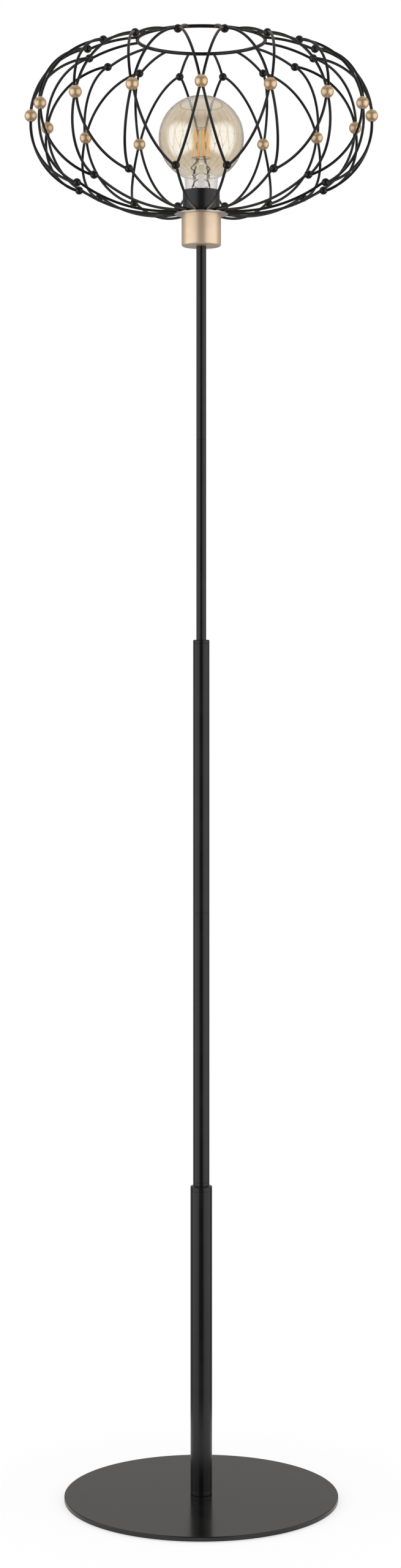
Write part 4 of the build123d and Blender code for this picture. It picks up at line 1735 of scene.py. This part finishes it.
@dataclass
class Softbox:
    """A large rectangular lamp of the studio, brightest in its middle."""

    name: str
    place: Point3
    target: Point3
    size: Point2
    brightness: float
    feather: float = 0.25

    def build(self) -> None:
        """Makes the lamp, with brightness as the radiance of the middle of its face."""
        data = bpy.data.lights.new(self.name, "AREA")
        data.shape = "RECTANGLE"
        data.size, data.size_y = self.size
        data.energy = self.brightness * math.pi * math.prod(self.size)
        data.use_nodes = True
        graph = Graph(data.node_tree)
        spot = graph.out("ShaderNodeNewGeometry", output="Parametric")
        level = 1.0
        for index in (0, 1):
            across = graph.part(spot, index)
            for near in (across, 1 - across):
                level = near.above(0.0, self.feather) * level
        face = graph.out("ShaderNodeEmission", inputs={"Strength": level})
        graph.node("ShaderNodeOutputLight", inputs={"Surface": face})
        lamp = linked(self.name, data)
        lamp.location = self.place
        aim = Vector(self.target) - Vector(self.place)
        lamp.rotation_euler = aim.to_track_quat("-Z", "Y").to_euler()
        lamp.visible_camera = False


@dataclass
class Studio:
    """Pale floor, white backdrop, dim room in front, softboxes and the camera."""

    diffuse_sky: float = 0.78
    room: float = 0.07
    room_tint: Colour = (1.0, 0.955, 0.935)
    backdrop: float = 0.28
    backdrop_top: float = 0.50
    backdrop_edge: Range = (-0.3, 0.8)
    backdrop_rise: Range = (0.12, 0.16)
    side_azimuth: float = math.radians(64)
    side_distance: float = 2.5
    side_height: float = 1.1
    side_size: Point2 = (5.5, 4.8)
    side_brightness: float = 1.25
    top_place: Point3 = (0.0, -0.2, 3.4)
    top_size: Point2 = (3.2, 3.2)
    top_brightness: float = 0.3
    floor_radius: float = 0.34
    floor_sides: int = 96
    floor_drop: float = 0.2 * MM
    floor_colour: Colour = (0.90, 0.90, 0.90)
    floor_shade: Colour = (0.88, 0.88, 0.88)
    floor_white: float = 0.68
    floor_roughness: float = 0.8
    floor_cloud: float = 0.4
    floor_drift: Range = (0.985, 1.0)
    fade_start: float = 0.19
    fade_width: float = 0.14
    camera_place: Point3 = (0.0, -3.110, 0.944)
    lens: float = 64.1
    shift: Point2 = (-0.0005, -0.0844)

    def build(self) -> None:
        """Makes the whole studio."""
        self.build_world()
        self.build_floor()
        for side, name in ((-1, "left"), (1, "right")):
            place = (side * self.side_distance * math.sin(self.side_azimuth),
                     -self.side_distance * math.cos(self.side_azimuth), self.side_height)
            aim = (0.0, 0.0, self.side_height)
            Softbox(f"softbox_{name}", place, aim, self.side_size, self.side_brightness).build()
        Softbox("softbox_top", self.top_place, (0.0, 0.0, 0.0), self.top_size, self.top_brightness).build()
        self.build_camera()

    def build_world(self) -> None:
        """White to the camera and through glass, with a backdrop and a dim room that only gloss shows."""
        world = bpy.data.worlds.new("studio_world")
        world.use_nodes = True
        bpy.context.scene.world = world
        shading = Shading(world.node_tree)
        glossy = shading.out("ShaderNodeLightPath", output="Is Glossy Ray")
        behind = shading.axis(1).above(*self.backdrop_edge)
        high = shading.axis(2).above(*self.backdrop_rise)
        reflected = behind * (high.between(self.backdrop, self.backdrop_top) - self.room) + self.room
        light = glossy * (reflected - self.diffuse_sky) + self.diffuse_sky
        strength = shading.seen() * (1 - light) + light
        tint = shading.mix(glossy, WHITE, self.room_tint)
        sky = shading.out("ShaderNodeBackground", inputs={"Color": tint, "Strength": strength})
        shading.node("ShaderNodeOutputWorld", inputs={"Surface": sky})

    def build_floor(self) -> None:
        """A plain pale floor that keeps the lamp's shadow near the base and fades to white round it."""
        rim = [(x, y, -self.floor_drop) for x, y in circle((0, 0), self.floor_radius, self.floor_sides)]
        floor = mesh_object("floor", rim, faces=[tuple(range(self.floor_sides))])
        made = bpy.data.materials.new("studio_floor")
        made.use_nodes = True
        shading = Shading(made.node_tree)
        tone = shading.noise(self.floor_cloud).between(*self.floor_drift)
        far = shading.out("ShaderNodeVectorMath", {"operation": "LENGTH"}, {0: shading.place()}, "Value")
        paint = shading.surface(
            Base_Color=shading.mix(tone, self.floor_shade, self.floor_colour),
            Roughness=self.floor_roughness,
        )
        white = shading.out("ShaderNodeEmission", inputs={"Color": (*WHITE, 1.0), "Strength": 1.0})
        share = far.above(self.fade_start, self.fade_width).between(self.floor_white, 1.0) * shading.seen()
        blend = shading.out("ShaderNodeMixShader", inputs={0: share, 1: paint, 2: white})
        shading.node("ShaderNodeOutputMaterial", inputs={"Surface": blend})
        floor.data.materials.append(made)

    def build_camera(self) -> None:
        """Level camera in front of the lamp, lowered by shift."""
        data = bpy.data.cameras.new("camera")
        data.sensor_width = 36.0
        data.lens = self.lens
        data.shift_x, data.shift_y = self.shift
        camera = linked("camera", data)
        camera.location = self.camera_place
        camera.rotation_euler = (math.pi / 2, 0, 0)
        bpy.context.scene.camera = camera


# ---- main ----------------------------------------------------------------------------------------


def main() -> None:
    """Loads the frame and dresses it."""
    logging.basicConfig(level=logging.INFO, format="%(name)s: %(message)s")
    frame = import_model()
    dress_hidden(frame["nodes"])
    shop = Workshop()
    for kind in (Base, Pole, Inlet, Lampholder, Cage, BulbFoot, Bulb):
        kind(shop).build()
    Studio().build()
    bpy.context.scene.view_settings.view_transform = "Standard"


if __name__ == "__main__":
    main()
